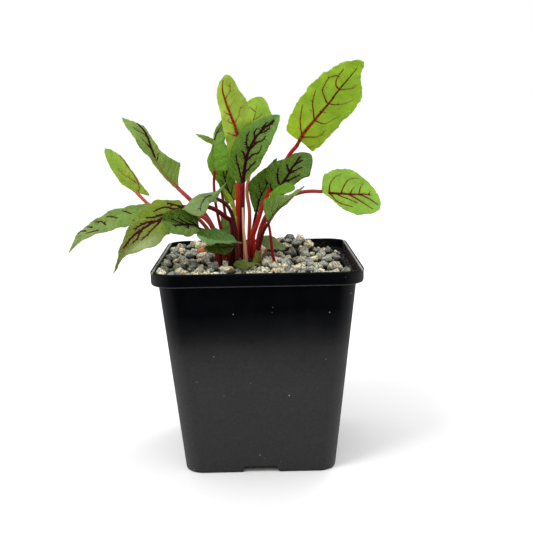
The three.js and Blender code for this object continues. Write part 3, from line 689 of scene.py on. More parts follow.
LEAVES["grey_green_left"] = dict(
    stalk=[(-7.5, -7.5, 88), (-10, -9, 108), (-12, -11, 115), (-14.5, -13, 118), (-17, -14, 119.5)],
    rib=[(-20.5, -18, 120.5), (-23, -22, 118.5), (-24.5, -26, 113.5)],
    face=(-0.2, -0.95, 0.25), left=[1.5, 2, 2.5, 3, 3], right=[8.5, 3.5, 4, 5.5, 7.5],
    lobes=(1, 8), folds=(0, 0), ripple=0.4, radii=(1.1, 0.8),
    upper="7E9A62", tip="7C9862", stems=("38080C", "4E1216"), vein="3C3038", ribs=("6A5A48", "7A8A5A"),
    midrib=[(0, 0), (.2, 0)], rib_line=0,
    veins=[[(.25, .4), (.32, .28), (.49, .08), (.66, .06), (.84, -.05)]], bold=0.32, twigs=0.5)
LEAVES["young_strip"] = dict(
    stalk=[(-10.3, 0.6, 88), (-9.5, 0, 98.5), (-9.5, 0, 109.5)],
    rib=[(-11.5, 1, 116), (-15, 2, 123)],
    face=(0.3, -0.9, 0), left=[1, 0.8, 0.8, 0.8, 0.8], right=[0.8, 1, 1.5, 1.5, 1],
    lobes=(0, 0), ripple=0.2, radii=(1, 0.6),
    upper="9AA428", tip="86982C", stems=("988A3C", "9AA030"), vein="7E8C20", ribs=("9A9A3C", "8A9434"))
LEAVES["small_behind_left"] = dict(
    stalk=[(-13.5, 9, 88), (-12.5, 8.5, 95.5), (-12, 8, 99)],
    rib=[(-14, 9, 105), (-17, 10, 110)],
    face=(0.2, -0.9, 0.2), left=[4.5, 5, 4.5, 3.5, 1.5], right=[3.5, 3, 2.5, 2, 1.5],
    lobes=(1, 1), ripple=0.2, radii=(0.9, 0.6),
    upper="66823A", tip="6E8C4A", stems=("7A1A18", "8A3A30"), vein="5E7430", ribs=("8A9A50", "7A9048"))
LEAVES["folded_low_left"] = dict(
    stalk=[(-9, -11.5, 88), (-8.5, -13.5, 95.5), (-9, -15.5, 100)], neck=(-9, -15.5, 100.5),
    rib=[(-17.5, -24, 102.5), (-25, -31, 106)],
    face=(0, -0.5, 0.85), left=[0.8, 0.8, 1.5, 2, 4], right=[4.5, 7, 7.5, 6.5, 5],
    lobes=(5, 0.5), folds=(-10, 20), ripple=0.3, radii=(0.9, 0.7),
    upper="5A8444", tip="2E5A10", lower_half="789E62", stems=("5A1018", "6A2028"), vein="2C2018",
    ribs=("7A8A5A", "4A6A2A"))
LEAVES["dark_low_left"] = dict(
    stalk=[(-12.5, -9, 88), (-11.5, -11, 94), (-10, -13, 98)],
    rib=[(-16.5, -16, 98), (-23, -19, 98.5)],
    face=(0, -0.6, 0.75), left=[2, 4, 5, 4.5, 3.5], right=[2, 2.5, 2.5, 2.5, 2],
    lobes=(-1, 1), ripple=0.2, radii=(0.9, 0.6),
    # Its dark olive is partly painted shade, for a blade lying in the shadow under the folded leaf.
    upper="3C540C", tip="40580E", stems=("4A0C10", "4A1414"), vein="2A1008", ribs=("4A1A14", "3A2A10"),
    dark_rib=[(0, 0), (.6, 0)], veins=[[(.1, .1), (.3, .5), (.4, .8)], [(.3, 0), (.5, -.4)]])

# %% The leaves in the middle
LEAVES["tall_centre_left"] = dict(
    stalk=[(-7.5, 4, 88), (-8.5, 7, 107), (-8, 8, 123.5), (-7, 7.5, 135.5)],
    rib=[(-8.5, 3.5, 148.5), (-13, -0.5, 163), (-12, -5, 173)],
    face=(-0.1, 0.9, 0.1), left=[5.5, 7, 8.5, 9.5, 7], right=[5, 5.5, 5.5, 4, 3.5],
    lobes=(3, 3), ripple=0.6, radii=(1.6, 1.1),
    upper="7C9E3E", tip="80A044", under="B0CA4E", under_base="9AAA1E", stems=("7C0606", "D03A1C"),
    vein="9A2018", ribs=("A02018", "8E241A"),
    midrib=[(0, 0), (.45, 0), (.6, 0), (.73, .06), (.83, .3), (.93, .5)],
    veins=[[(.71, 0), (.75, -.15), (.81, -.38), (.91, -.45)], [(.6, 0), (.64, -.25), (.66, -.44)],
           [(.42, 0), (.46, -.25), (.5, -.44), (.58, -.62)], [(.42, 0), (.45, .3), (.48, .5)],
           [(.28, 0), (.31, .44), (.35, .75)], [(.53, .1), (.56, .35), (.59, .62)]],
    twigs=0.2)
LEAVES["pale_back"] = dict(
    stalk=[(-4.1, 12.5, 88), (-3.7, 13, 97.5), (-3.3, 14, 110), (-4.3, 15, 120.5), (-2, 16, 132)],
    rib=[(-1.5, 18, 143.5), (-0.5, 18, 152), (1, 17, 160), (0.5, 16, 163.5)],
    face=(0, 0.95, 0.1), left=[2.5, 4.5, 8, 12, 7.6], right=[5, 6, 7.5, 9, 9],
    lobes=(3, 3), ripple=0.6, radii=(1.2, 0.65),
    upper="7AA03E", tip="82A848", under="C2E45E", under_base="AECA4A", stems=("B4200E", "E0906C"),
    vein="8E241A", ribs=("A8302A", "9A2820"), midrib=[(0, 0), (.62, .04), (.71, 0), (.86, 0)],
    veins=[[(.78, 0), (.8, .12), (.83, .38)], [(.6, .05), (.62, .2), (.64, .3)],
           [(.66, 0), (.7, -.15), (.73, -.25), (.77, -.4)], [(.4, 0), (.45, .3), (.55, .6)],
           [(.38, 0), (.43, -.3), (.52, -.6)]],
    twigs=0.2)
LEAVES["dark_centre"] = dict(
    stalk=[(-7.5, -3, 88), (-7, -3, 100.5), (-6.5, -4, 111), (-6, -3, 125)],
    rib=[(-4, -1, 136.5), (0, 2, 145), (7.5, 6, 152), (11.5, 8, 155)],
    face=(0.2, -1, 0), left=[7.5, 8, 8.4, 6.5, 4.5], right=[2.5, 6.5, 7.5, 7.5, 5],
    lobes=(-1, -2), blunt=1.5, ripple=0.6, radii=(1.6, 1.1),
    # The paler tip colour is partly painted sheen.
    upper="5A8026", tip="7CA658", stems=("520204", "680408"), vein="32040E", ribs=("4E0610", "3A0612"),
    midrib=[(0, 0), (.4, 0), (.7, 0), (.9, -.04)], rib_size=1.0,
    veins=[[(.03, -.05), (.09, -.2), (.18, -.38), (.26, -.56), (.31, -.62)],
           [(.27, 0), (.35, -.25), (.36, -.44)],
           [(.41, 0), (.46, -.3), (.54, -.56), (.58, -.62)], [(.56, 0), (.61, -.3), (.66, -.44)],
           [(.12, 0), (.2, .38), (.29, .62)], [(.28, .05), (.38, .38), (.41, .62), (.53, .58)],
           [(.42, .05), (.54, .25), (.61, .44), (.68, .44)], [(.66, 0), (.72, .2), (.8, .28)],
           [(.7, 0), (.74, -.2), (.82, -.28)], [(.78, 0), (.84, .14), (.9, .16)]],
    bold=0.46, twigs=1.0, rib_line=0.85)
LEAVES["upright_left"] = dict(
    stalk=[(-13, 3, 88), (-17, 7, 104.5), (-19, 8, 116), (-19.5, 9, 124.5), (-19, 9, 130)],
    rib=[(-19.5, 8, 137), (-18.5, 8, 145), (-15, 8, 153.5)],
    face=(0.4, -0.9, 0), left=[3, 3.5, 1.5, 0.8, 1.5], right=[6.5, 9, 8.5, 5, 4.5],
    lobes=(1, 2), blunt=1.2, ripple=0.4, radii=(0.9, 0.6), quilt=0.08,
    upper="80B43E", tip="90AE6A", stems=("6A060C", "8E1014"), vein="5E1E28", ribs=("7AA044", "70303A"),
    midrib=[(0, 0), (.4, 0), (.64, 0), (.78, .06), (.92, .3)], rib_line=0.3,
    dark_rib=[(.6, 0), (.7, 0), (.78, .06), (.92, .3)],
    veins=[[(.75, .1), (.8, .3), (.88, .5)]], bold=0.15)
LEAVES["broad_behind_left"] = dict(
    stalk=[(-9, 9.5, 88), (-10, 11, 104.5), (-11, 12, 116)],
    rib=[(-13.5, 14, 122), (-15.5, 16, 129.5), (-17, 18, 138.5)],
    face=(0.2, -0.95, 0.1), left=[4, 3.5, 4, 6, 6.5], right=[4, 4.5, 4.5, 3.5, 2.5],
    lobes=(3, 3), blunt=1.5, ripple=0.3, radii=(1, 0.7),
    upper="587E1C", tip="6A962A", stems=("4A060A", "5A0A10"), vein="260810", ribs=("3A0A12", "4A3018"),
    midrib=[(0, 0), (.5, 0), (.7, .1)],
    veins=[[(.1, 0), (.22, .4), (.34, .7)], [(.2, 0), (.34, -.35), (.45, -.6)],
           [(.45, 0), (.56, .4), (.66, .6)]],
    bold=0.3, twigs=0.3)
LEAVES["narrow_back_left"] = dict(
    stalk=[(-11.5, 12.5, 88), (-14.5, 16, 106), (-17, 19, 125), (-18, 21, 140.5)],
    rib=[(-23, 24, 144), (-28.5, 28, 146.5)],
    face=(0, -0.7, 0.7), left=[0.8, 1, 1.5, 1.5, 1], right=[1.5, 2, 2, 1.5, 1],
    lobes=(0, 0), blunt=1.2, ripple=0.1, radii=(0.9, 0.5),
    upper="5E7A1E", tip="76903A", stems=("5A0C14", "6E3020"), vein="5E7A1E", ribs=("4E6A1E", "6A8A34"))

# %% The leaves on the right
LEAVES["large_upper_right"] = dict(
    stalk=[(-1, 1.5, 88), (-2, 3, 99), (0, 4, 105.5), (3, 6, 114), (6.5, 7, 121), (15, 8, 136),
           (19, 7, 141)],
    rib=[(27, 3, 153.5), (37, -5, 165.5), (44, -14, 174.5), (46, -17, 177)],
    face=(-0.2, 0.9, 0.3), left=[9, 13, 14, 14, 6.3], right=[8, 10, 11, 11, 8.5], start=0.055,
    lobes=(5, 0), ripple=0.6, radii=(1.25, 0.95), teeth=0.4, frill=0.3, rounding=3,
    upper="769C36", tip="7CA444", under="9EC234", under_base="B2C826", stems=("B41A0A", "B01E12"),
    vein="741A0A", ribs=("8A0C0A", "5A0606"), rib_size=0.9,
    midrib=[(0, 0), (.12, .04), (.29, -.04), (.5, -.05), (.65, 0), (.92, -.05)],
    veins=[[(.1, .05), (.18, .38), (.24, .56), (.34, .76)], [(.29, 0), (.35, .25), (.41, .5), (.51, .7)],
           [(.48, 0), (.51, .25), (.55, .5), (.62, .62), (.69, .69), (.73, .62)],
           [(.65, 0), (.66, .2), (.71, .38), (.78, .5), (.84, .56)],
           [(.1, -.05), (.14, -.38), (.18, -.62), (.25, -.7)],
           [(.28, -.05), (.29, -.44), (.34, -.58), (.42, -.75)],
           [(.48, -.05), (.5, -.3), (.55, -.56), (.61, -.75)],
           [(.65, -.05), (.68, -.3), (.7, -.52), (.74, -.64)],
           [(.38, 0), (.39, -.2)], [(.04, -.1), (.05, -.38), (.06, -.62), (.1, -.75)],
           [(.73, .62), (.76, .5), (.75, .4)]],
    bold=0.3, twigs=0.12)
LEAVES["rounded_right"] = dict(
    stalk=[(0.5, -3, 88), (0.5, -2, 99), (4, -0.5, 109.5), (11, 0, 116.5), (19, 0, 120), (24.5, -2, 121),
           (29.5, -4, 121)],
    rib=[(39.5, -9, 119), (47.5, -15, 117), (53.5, -20, 114.5)],
    face=(0, -0.9, 0.35), left=[8.5, 11.8, 12.3, 10, 6.8], right=[1, 3.2, 5.8, 7.2, 6.8],
    lobes=(3, 0), ripple=0.6, radii=(1.1, 0.8), teeth=0.4,
    upper="94BC46", tip="8CB84A", stems=("74100C", "9A3430"), vein="681008", ribs=("8A8A44", "5E0A0A"),
    midrib=[(.13, -.01), (.29, -.06), (.49, -.16), (.64, -.33), (.78, -.55)],
    veins=[[(.12, -.08), (.12, -.41), (.17, -.65), (.25, -.79)],
           [(.31, -.08), (.33, -.36), (.38, -.64), (.51, -.84)],
           [(.45, -.15), (.48, -.42)], [(.59, -.28), (.58, -.57), (.6, -.83)], [(.74, -.48), (.74, -.7)],
           [(.16, .2), (.27, .72), (.45, .64), (.6, .59)], [(.26, -.04), (.32, .05), (.44, .11), (.63, .2)],
           [(.42, -.12), (.62, -.02), (.78, .13), (.91, .29)], [(.59, -.26), (.77, -.3), (.94, -.35)]],
    bold=0.3, twigs=0.06, rib_line=0.5)
LEAVES["folded_right"] = dict(
    stalk=[(-1.5, -7, 88), (1.5, -7.5, 99), (3, -9, 104), (5.5, -11, 108.5)],
    rib=[(9, -13, 113.5), (15.5, -16, 119.5), (21, -19, 125)],
    face=(-0.3, -0.6, 0.7), left=[9, 9, 6.5, 3, 1.5], right=[1, 1, 1, 0.8, 0.6],
    lobes=(-2, 0), blunt=1.2, ripple=0.3, radii=(1.1, 0.65),
    upper="628236", tip="8A9A62", stems=("320406", "5A0C0E"), vein="4A0A10", ribs=("5A0E12", "6A3A2A"),
    midrib=[(0, 0), (.5, 0), (.7, 0)],
    veins=[[(.15, 0), (.18, -.15), (.21, -.4)], [(.27, 0), (.32, -.12), (.38, -.28)]], bold=0.24, twigs=0.2)
LEAVES["small_bright_right"] = dict(
    stalk=[(8, -7, 88), (7, -7, 93), (6, -6, 103.5), (5, -5, 110.5), (6.5, -5, 119)],
    rib=[(11, -7, 122), (17.5, -9, 123.5)],
    face=(0, -0.7, 0.7), left=[2, 2, 2.5, 3.5, 3], right=[2, 2, 2.5, 3.5, 3],
    lobes=(1, 1), ripple=0.2, radii=(0.8, 0.5),
    upper="629420", tip="62942A", stems=("7A0A0C", "8A1418"), vein="527A20", ribs=("7AA83C", "6A9A34"))
LEAVES["dark_right"] = dict(
    stalk=[(1, 5, 88), (1.5, 5, 98.5), (4.5, 4.5, 108.5), (8.5, 3, 118.5)],
    rib=[(12, 2, 124.5), (16, 0.5, 130.5), (20.5, -0.5, 134.8), (25.5, -1, 137)],
    face=(-0.2, -0.9, 0.3), left=[6, 9.5, 9, 6, 4], right=[3, 5, 6, 7.5, 9],
    lobes=(-4, 1), ripple=0.5, radii=(1.0, 0.8),
    # The stalk's bright foot colour is partly painted light: brighter than its own orange-red, to offset
    # the shade it stands in.
    upper="4E7420", tip="58783A", edge="401A2A", stems=("E0502E", "A0180E"), vein="2A040E",
    ribs=("4A0812", "2A0610"),
    midrib=[(0, 0), (.3, .07), (.48, .05), (.6, -.04), (.71, -.13), (.82, -.4)],
    veins=[[(.23, -.12), (.32, -.37), (.44, -.56)], [(.5, .04), (.54, -.2), (.58, -.56)],
           [(.46, .05), (.52, .1), (.62, .27), (.75, .37)], [(.64, -.06), (.71, -.02), (.83, .07)],
           [(.28, .07), (.35, .29), (.48, .55), (.62, .69)], [(.04, -.2), (.04, -.4), (.03, -.77)]],
    bold=0.5, twigs=0.8, rib_line=0.8)
LEAVES["dark_behind_right"] = dict(
    stalk=[(-2.5, 7.5, 88), (-2.5, 8.5, 95.5), (-1.5, 10, 103.5), (0, 11, 110.5)],
    rib=[(3, 12, 118.5), (6, 12, 125), (10, 11, 135.5)],
    face=(-0.2, -0.95, 0.1), left=[1.5, 5, 8, 6.5, 3], right=[2, 2.5, 2, 2, 1.5],
    lobes=(2, 1), blunt=1.5, ripple=0.3, radii=(1.0, 0.65),
    upper="4C7420", tip="4E7222", stems=("7A0A10", "34060A"), vein="24060E", ribs=("34060C", "24060E"),
    midrib=[(0, 0), (.19, -.1), (.33, -.05), (.5, .05), (.7, 0)],
    veins=[[(.13, -.05), (.23, -.25), (.31, -.44)], [(.3, 0), (.4, -.3), (.5, -.45)],
           [(.5, 0), (.62, -.35)]],
    bold=0.3, twigs=0.3)
LEAVES["low_back_right"] = dict(
    stalk=[(3.5, 9.5, 88), (3.5, 10.5, 90.5), (4.5, 12, 92.5)],
    rib=[(8, 14, 93.5), (13.5, 16, 91.5)],
    face=(0, -0.5, 0.85), left=[6.5, 6.5, 5.5, 3.5, 2.5], right=[2, 1, 1, 2, 2],
    lobes=(4, -2), folds=(30, 0), ripple=0.2, radii=(0.9, 0.6),
    upper="768A5E", tip="7A9060", stems=("6A3A24", "7A5A3A"), vein="6A4A44", ribs=("7A5A44", "7A8A5A"),
    spot=(0.6, 0.3, 0.09, 0.22, "C08A1C"))
LEAVES["low_front"] = dict(
    stalk=[(1.5, -10.5, 88), (0, -11.5, 89.5), (-1.5, -12.5, 90)],
    rib=[(-6, -15, 90.5), (-10.5, -18, 90.5)],
    face=(0, -0.6, 0.8), left=[2, 3, 3.5, 4.5, 4.5], right=[1, 1, 2.5, 2.5, 2],
    lobes=(0, -1), ripple=0.2, radii=(0.8, 0.5),
    upper="5E7034", tip="4E5C28", stems=("6A3A24", "6A6A34"), vein="4A5A24", ribs=("7A8A4A", "6A7A3A"))

for name, own in LEAVES.items():
    LEAVES[name] = {**ORDINARY, **own, "rib": [own.get("neck", own["stalk"][-1]), *own["rib"]]}
print("leaves:", len(LEAVES))

# %% [markdown]
# Veins are drawn by distance. For each point of a blade the code finds how far it lies from the nearest
# vein, on the blade pressed flat, and stores that number. The material turns small numbers into vein
# colour. The same distances push the blade up between its veins, which gives the quilted look. Faint
# side veins are added by rule, and the dark leaves get short ragged twigs from a seeded draw.

# %% Veins as distances
FAR_FROM_VEINS = 6.0
SIDE_VEIN_STEP = 4.2
TWIG_DEGREES = (40, 75)
TWIG_REACH = (0.7, 2.0)
TWIG_BEND = 0.2
TWIG_END = 0.05


def polyline(blade, places, samples=10):
    """A vein's flat line through its places."""
    line, _, _ = trace([(t, u, 0.0) for t, u in places], samples)
    return blade.flat(np.clip(line[:, 0], 0, 1), np.clip(line[:, 1], -1, 1))


def least_gap(spots, lines):
    """Distance from each flat spot to the nearest line, less that line's half-width."""
    best = np.full(len(spots), FAR_FROM_VEINS)
    for line, start, end in lines:
        sizes = np.linspace(start, end, len(line))
        for a, b, wide, narrow in zip(line[:-1], line[1:], sizes[:-1], sizes[1:]):
            step = b - a
            f = np.clip((spots - a) @ step / max(step @ step, 1e-9), 0, 1)
            gap = np.linalg.norm(spots - a - f[:, None] * step, axis=1) - (wide + f * (narrow - wide))
            best = np.minimum(best, gap)
    return best


def twig(spot, run, draw):
    """A short bent line that leaves a vein at a steep angle."""
    turn_by = math.radians(draw.uniform(*TWIG_DEGREES)) * draw.choice((-1, 1))
    c, s = math.cos(turn_by), math.sin(turn_by)
    aim = np.array([c * run[0] - s * run[1], s * run[0] + c * run[1]])
    reach = draw.uniform(*TWIG_REACH)
    bend = np.array([aim[1], -aim[0]]) * draw.uniform(-TWIG_BEND, TWIG_BEND) * reach
    return np.array([spot, spot + aim * reach * 0.5 + bend, spot + aim * reach])


def coloured_veins(blade, draw):
    """The leaf's own veins with their half-widths at both ends, and twigs where it has them."""
    leaf = blade.leaf
    bold = leaf["bold"]
    lines = [(polyline(blade, places), bold, bold * 0.5) for places in leaf["veins"]]
    wide = leaf.get("rib_line", 0.0 if "under" in leaf or not lines else leaf["radii"][1] * 0.6)
    if wide:
        lines.append((polyline(blade, leaf.get("dark_rib", leaf["midrib"]), 24), wide, bold * 0.6))
    twigs = []
    for trunk, _, _ in lines:
        for spot, following in zip(trunk[:-1], trunk[1:]):
            step = np.linalg.norm(following - spot)
            if draw.random() <= leaf["twigs"] * step:
                twigs.append((twig(spot, (following - spot) / max(step, 1e-6), draw), bold * 0.6, TWIG_END))
    return lines + twigs


def faint_veins(blade):
    """Side veins at even steps, which show only as relief and a slightly paler line."""
    count = max(3, round(blade.length / SIDE_VEIN_STEP))
    lines = []
    for k in range(count):
        start = 0.03 + 0.84 * k / count
        for hand in (-1, 1):
            places = [(start, 0.0), (start + 0.05, 0.4 * hand), (start + 0.13, 0.92 * hand)]
            lines.append((polyline(blade, places, 6), 0.0, 0.0))
    return lines


# %% [markdown]
# A blade is a grid of points over the leaf rule, once for its top and once for its underside, joined
# round the edge. It is thinner at the edge than in the middle. The midrib is a tapering tube along its
# own line, sunk mostly into the underside, so it shows as a ridge below and a coloured band above.

# %% Building a blade
GRID = 0.42
BLADE_THICK = 0.42
EDGE_THICK = 0.16
QUILT_SPREAD = 1.1
RIB_SIDES = 10
RIB_STEP = 1.2
PALE_BELOW = "8FA070"


def mixed(first, second, share):
    """Colours on the way from one to another, one for each share."""
    a, b = np.array(linear(first)), np.array(linear(second))
    return a + (b - a) * np.clip(share, 0, 1)[:, None]


def towards(colours, hue, share):
    """Colours moved some of the way to a hue."""
    return colours + (np.array(linear(hue)) - colours) * np.reshape(share, (-1, 1))


def opaque(colours):
    return np.concatenate([colours, np.ones((len(colours), 1))], axis=1)


def blade_tint(leaf, t, u, under):
    """The blade's colour at each point; some tints carry painted sheen, painted shade and painted light
    shining through.
    """
    # Underside colours are the underside's own paler green, brightened by painted light shining through the
    # blade.
    if under and "under" in leaf:
        colour = mixed(leaf["under_base"], leaf["under"], t * 3.0)
    else:
        colour = mixed(leaf["upper"], leaf["tip"], (t - 0.3) / 0.7)
    if under and "under" not in leaf:
        colour = towards(colour, PALE_BELOW, 0.35)
    # A paler lower half, which on the rounded front-left leaf is painted sheen.
    if "lower_half" in leaf and not under:
        colour = towards(colour, leaf["lower_half"], np.clip((0.08 - u) / 0.1, 0, 1))
    if "edge" in leaf:
        rim = np.clip((np.abs(u) - 0.9) / 0.08, 0, 1) * np.clip((t - 0.35) * 4, 0, 1)
        colour = towards(colour, leaf["edge"], rim)
    if "spot" in leaf:
        at_t, at_u, long, wide, hue = leaf["spot"]
        colour = towards(colour, hue, 0.9 * np.exp(-((t - at_t) / long) ** 2 - ((u - at_u) / wide) ** 2))
    return opaque(colour)


def grid_faces(rows, columns):
    """Quads of a grid, then of its mirror on the underside, then of the edge between them."""
    size = (rows + 1) * (columns + 1)
    index = np.arange(size).reshape(rows + 1, columns + 1)
    a, b = index[:-1, :-1].ravel(), index[:-1, 1:].ravel()
    c, d = index[1:, 1:].ravel(), index[1:, :-1].ravel()
    top = np.stack([a, b, c, d], 1)
    bottom = np.stack([a, d, c, b], 1) + size
    border = np.concatenate([index[0, :-1], index[:-1, -1], index[-1, :0:-1], index[:0:-1, 0]])
    following = np.roll(border, -1)
    edge = np.stack([border, border + size, following + size, following], 1)
    return np.concatenate([top, bottom, edge])


def rib_tube(blade):
    """Points, faces, shares along and flat places of the midrib's tube."""
    leaf = blade.leaf
    radius = leaf["radii"][1]
    line, _, _ = trace([(t, u, 0.0) for t, u in leaf["midrib"]], max(16, round(blade.length / RIB_STEP)))
    t = np.clip(line[:, 0], 0, 1)
    u = np.clip(line[:, 1], -0.96, 0.96)
    spots, normals = blade.point(t, u)
    along = np.gradient(spots, axis=0)
    along /= np.linalg.norm(along, axis=1)[:, None]
    normals = square_to(normals, along)
    share = np.linspace(0, 1, len(t))
    sizes = radius * leaf["rib_size"] * (1 - 0.82 * share)
    sizes[0] = radius
    sunk = np.minimum(share * 8, 1) * 0.5 * sizes
    centres = spots - normals * sunk[:, None]
    points, faces = tube(centres, np.cross(along, normals), normals, sizes, RIB_SIDES)
    return points, faces, np.repeat(share, RIB_SIDES), np.repeat(blade.flat(t, u), RIB_SIDES, axis=0)


def make_leaf(name, leaf, seed):
    blade = Blade(leaf)
    rows = max(20, round(blade.length / GRID))
    half_columns = max(6, round(max(leaf["left"] + leaf["right"]) / GRID))
    ladder = np.linspace(0, 1, half_columns + 1) ** 1.1
    u_line = np.concatenate([-ladder[:0:-1], ladder])
    t_line = np.linspace(leaf["start"], 1, rows + 1)
    t, u = (g.ravel() for g in np.meshgrid(t_line, u_line, indexing="ij"))
    flat = blade.flat(t, u)
    lines = coloured_veins(blade, random.Random(seed))
    veins = least_gap(flat, lines)
    quilt = np.minimum(least_gap(flat, faint_veins(blade)), np.maximum(veins, 0))
    spots, normals = blade.point(t, u)
    inside = 1 - np.abs(u)
    fade = np.clip(inside * 4, 0, 1) * np.clip((1 - t) * 8, 0, 1)
    puff = leaf["quilt"] * (1 - np.exp(-(quilt / QUILT_SPREAD) ** 2)) * fade
    thick = EDGE_THICK + (BLADE_THICK - EDGE_THICK) * np.clip(inside * 5, 0, 1)
    top = spots + normals * (puff + thick / 2)[:, None]
    bottom = spots + normals * (puff - thick / 2)[:, None]
    rib_points, rib_faces, rib_share, rib_flat = rib_tube(blade)
    faces = grid_faces(rows, 2 * half_columns).tolist()
    faces += [[k + 2 * len(t) for k in face] for face in rib_faces]
    tint = np.concatenate([blade_tint(leaf, t, u, False), blade_tint(leaf, t, u, True),
                           opaque(mixed(*leaf["ribs"], rib_share * 1.2))])
    mesh = make_mesh(
        name, np.concatenate([top, bottom, rib_points]), faces,
        vein=np.concatenate([veins, veins, least_gap(rib_flat, lines)]),
        quilt=np.concatenate([quilt, quilt, np.full(len(rib_share), FAR_FROM_VEINS)]),
        tint=tint, vein_tint=np.tile([*linear(leaf["vein"]), 1.0], (len(tint), 1)))
    return new_object(name, mesh)


# %% [markdown]
# One finish serves all blades, because their colours ride on the mesh. The leaves' tints hold some
# painted sheen, painted shade and painted light shining through. Over them come patches of lighter and
# darker green, a fine net of cells, the paler side veins, and the coloured veins with a ragged edge.
# Thin leaves let light through, so some of the shading is translucent.

# %% Leaf finish
LIGHT_THROUGH = 0.35
FIRST_LEAF_SEED = 100

leaf_skin = Recipe("dock_leaf")
patches = leaf_skin.ramp(leaf_skin.noise(170, 5, 0.6), [
    (0.34, (0.86, 0.90, 0.84)), (0.66, (1.20, 1.18, 1.12))])
green = leaf_skin.times(leaf_skin.carried("tint", "Color"), patches)
net = leaf_skin.between(leaf_skin.cells(620, "DISTANCE_TO_EDGE"), 0.0, 0.12)
green = leaf_skin.mix(leaf_skin.between(net, 0, 1, 0.16, 0.0), green, (0.55, 0.64, 0.08), "SCREEN")
from_side_vein = leaf_skin.carried("quilt")
green = leaf_skin.mix(leaf_skin.between(from_side_vein, 0.32, 0.05, 0.0, 0.22), green, "B4C074")
ragged = leaf_skin.between(leaf_skin.noise(1500, 3), 0.25, 0.75, -0.10, 0.10)
from_vein = leaf_skin.combine(leaf_skin.carried("vein"), ragged)
vein_tint = leaf_skin.carried("vein_tint", "Color")
green = leaf_skin.mix(leaf_skin.between(from_vein, 0.6, 0.0, 0.0, 0.18), green, vein_tint)
surface = leaf_skin.mix(leaf_skin.between(from_vein, 0.10, -0.05), green, vein_tint)
satin = leaf_skin.between(leaf_skin.noise(300, 2), 0.3, 0.7, 0.42, 0.58)
leaf_skin.set(Base_Color=surface, Roughness=satin, IOR=1.42, Specular_IOR_Level=0.12)
relief = leaf_skin.combine(leaf_skin.between(net, 0, 1, 0, 0.4), leaf_skin.noise(900, 3))
relief = leaf_skin.combine(relief, leaf_skin.between(from_side_vein, 0.0, 0.8, 0.0, 0.5))
normal = leaf_skin.bump(relief, 0.5, 0.0003)
through = leaf_skin.add("ShaderNodeBsdfTranslucent")
leaf_skin.fill(through, Color=leaf_skin.times(surface, (1.15, 1.2, 0.75)), Normal=normal)
blend = leaf_skin.add("ShaderNodeMixShader")
parts = (LIGHT_THROUGH, leaf_skin.shader.outputs[0], through.outputs[0])
for socket, part in zip(blend.inputs, parts):
    leaf_skin.feed(socket, part)
leaf_skin.fill(leaf_skin.tree.nodes["Material Output"], Surface=blend.outputs[0])

for number, (name, leaf) in enumerate(LEAVES.items()):
    piece = make_leaf(name + "_leaf", leaf, FIRST_LEAF_SEED + number)
    finish_piece(piece, [name + "_blade"], leaf_skin.material)
print("leaf triangles:", sum(v for k, v in TRIANGLES.items() if k.endswith("_leaf")))

# %% [markdown]
# Stalks are juicy, a little ribbed, and grooved on the side that faces the plant's middle. Each is a
# tube along its route, rooted in the soil and ending just inside the leaf's midrib, so that no gap
# shows at the neck. Its colour runs from the foot to the neck, with fine streaks along it. The youngest
# stalk has no open leaf yet.

# %% Stalks
CROWN = np.array([-5.0, 1.0])
ROOT_Z = 81.5
ROOT_PULL = 0.12
STALK_SIDES = 16
STALK_STEP = 1.3
GROOVE = 0.16
GROOVE_WIDTH = 0.55
RIB_DEPTH = 0.03
FOOT_SWELLING = 0.1
OVERLAP = 0.5
YOUNG_STALK = [(-5.3, -5.5, 88), (-5.6, -5.6, 99), (-6, -5.6, 106), (-6.1, -5.2, 114.5)]


def stalk_route(points):
    """A stalk's points with its root below them, drawn in towards the crown."""
    x, y = points[0][:2]
    return [(x + (CROWN[0] - x) * ROOT_PULL, y + (CROWN[1] - y) * ROOT_PULL, ROOT_Z), *points]


def make_stalk(name, points, radii, stems, groove=GROOVE, overlap=OVERLAP):
    route = stalk_route(points)
    steps = max(12, round(trace(route, 4)[2] / STALK_STEP))
    spots, tangents, length = trace(route, steps)
    spots[-1] = spots[-1] + tangents[-1] * overlap
    share = np.linspace(0, 1, steps + 1)
    inwards = square_to(np.concatenate([CROWN - spots[:, :2], np.full((steps + 1, 1), 0.01)], 1), tangents)
    sizes = radii[0] + (radii[1] - radii[0]) * share
    sizes = sizes * (1 + FOOT_SWELLING * np.exp(-(spots[:, 2] - ROOT_Z) / 6))

    def dent(angle):
        nearest = min(angle, 2 * math.pi - angle)
        return 1 - groove * math.exp(-(nearest / GROOVE_WIDTH) ** 2) + RIB_DEPTH * math.cos(5 * angle)

    skin_points, faces = tube(spots, inwards, np.cross(tangents, inwards), sizes, STALK_SIDES, dent)
    angles = [2 * math.pi * k / STALK_SIDES for k in range(STALK_SIDES)]
    grain = [(math.cos(angle), math.sin(angle), s * length * 0.05) for s in share for angle in angles]
    tint = opaque(mixed(*stems, np.repeat(share, STALK_SIDES) * 1.3 - 0.25))
    return new_object(name, make_mesh(name, skin_points, faces, tint=tint, grain=grain))


stem_skin = Recipe("dock_stalk")
streaks = stem_skin.noise(5.0, 4, 0.6, stem_skin.carried("grain", "Vector"))
bands = stem_skin.ramp(streaks, [(0.3, (0.62, 0.55, 0.55)), (0.55, 1.0), (0.75, (1.35, 1.2, 1.1))])
tone = stem_skin.times(stem_skin.carried("tint", "Color"), bands)
glossy = stem_skin.between(streaks, 0.3, 0.7, 0.26, 0.40)
stem_skin.set(Base_Color=tone, Roughness=glossy, IOR=1.42, Specular_IOR_Level=0.2)
stem_skin.bump(streaks, 0.3, 0.0002)

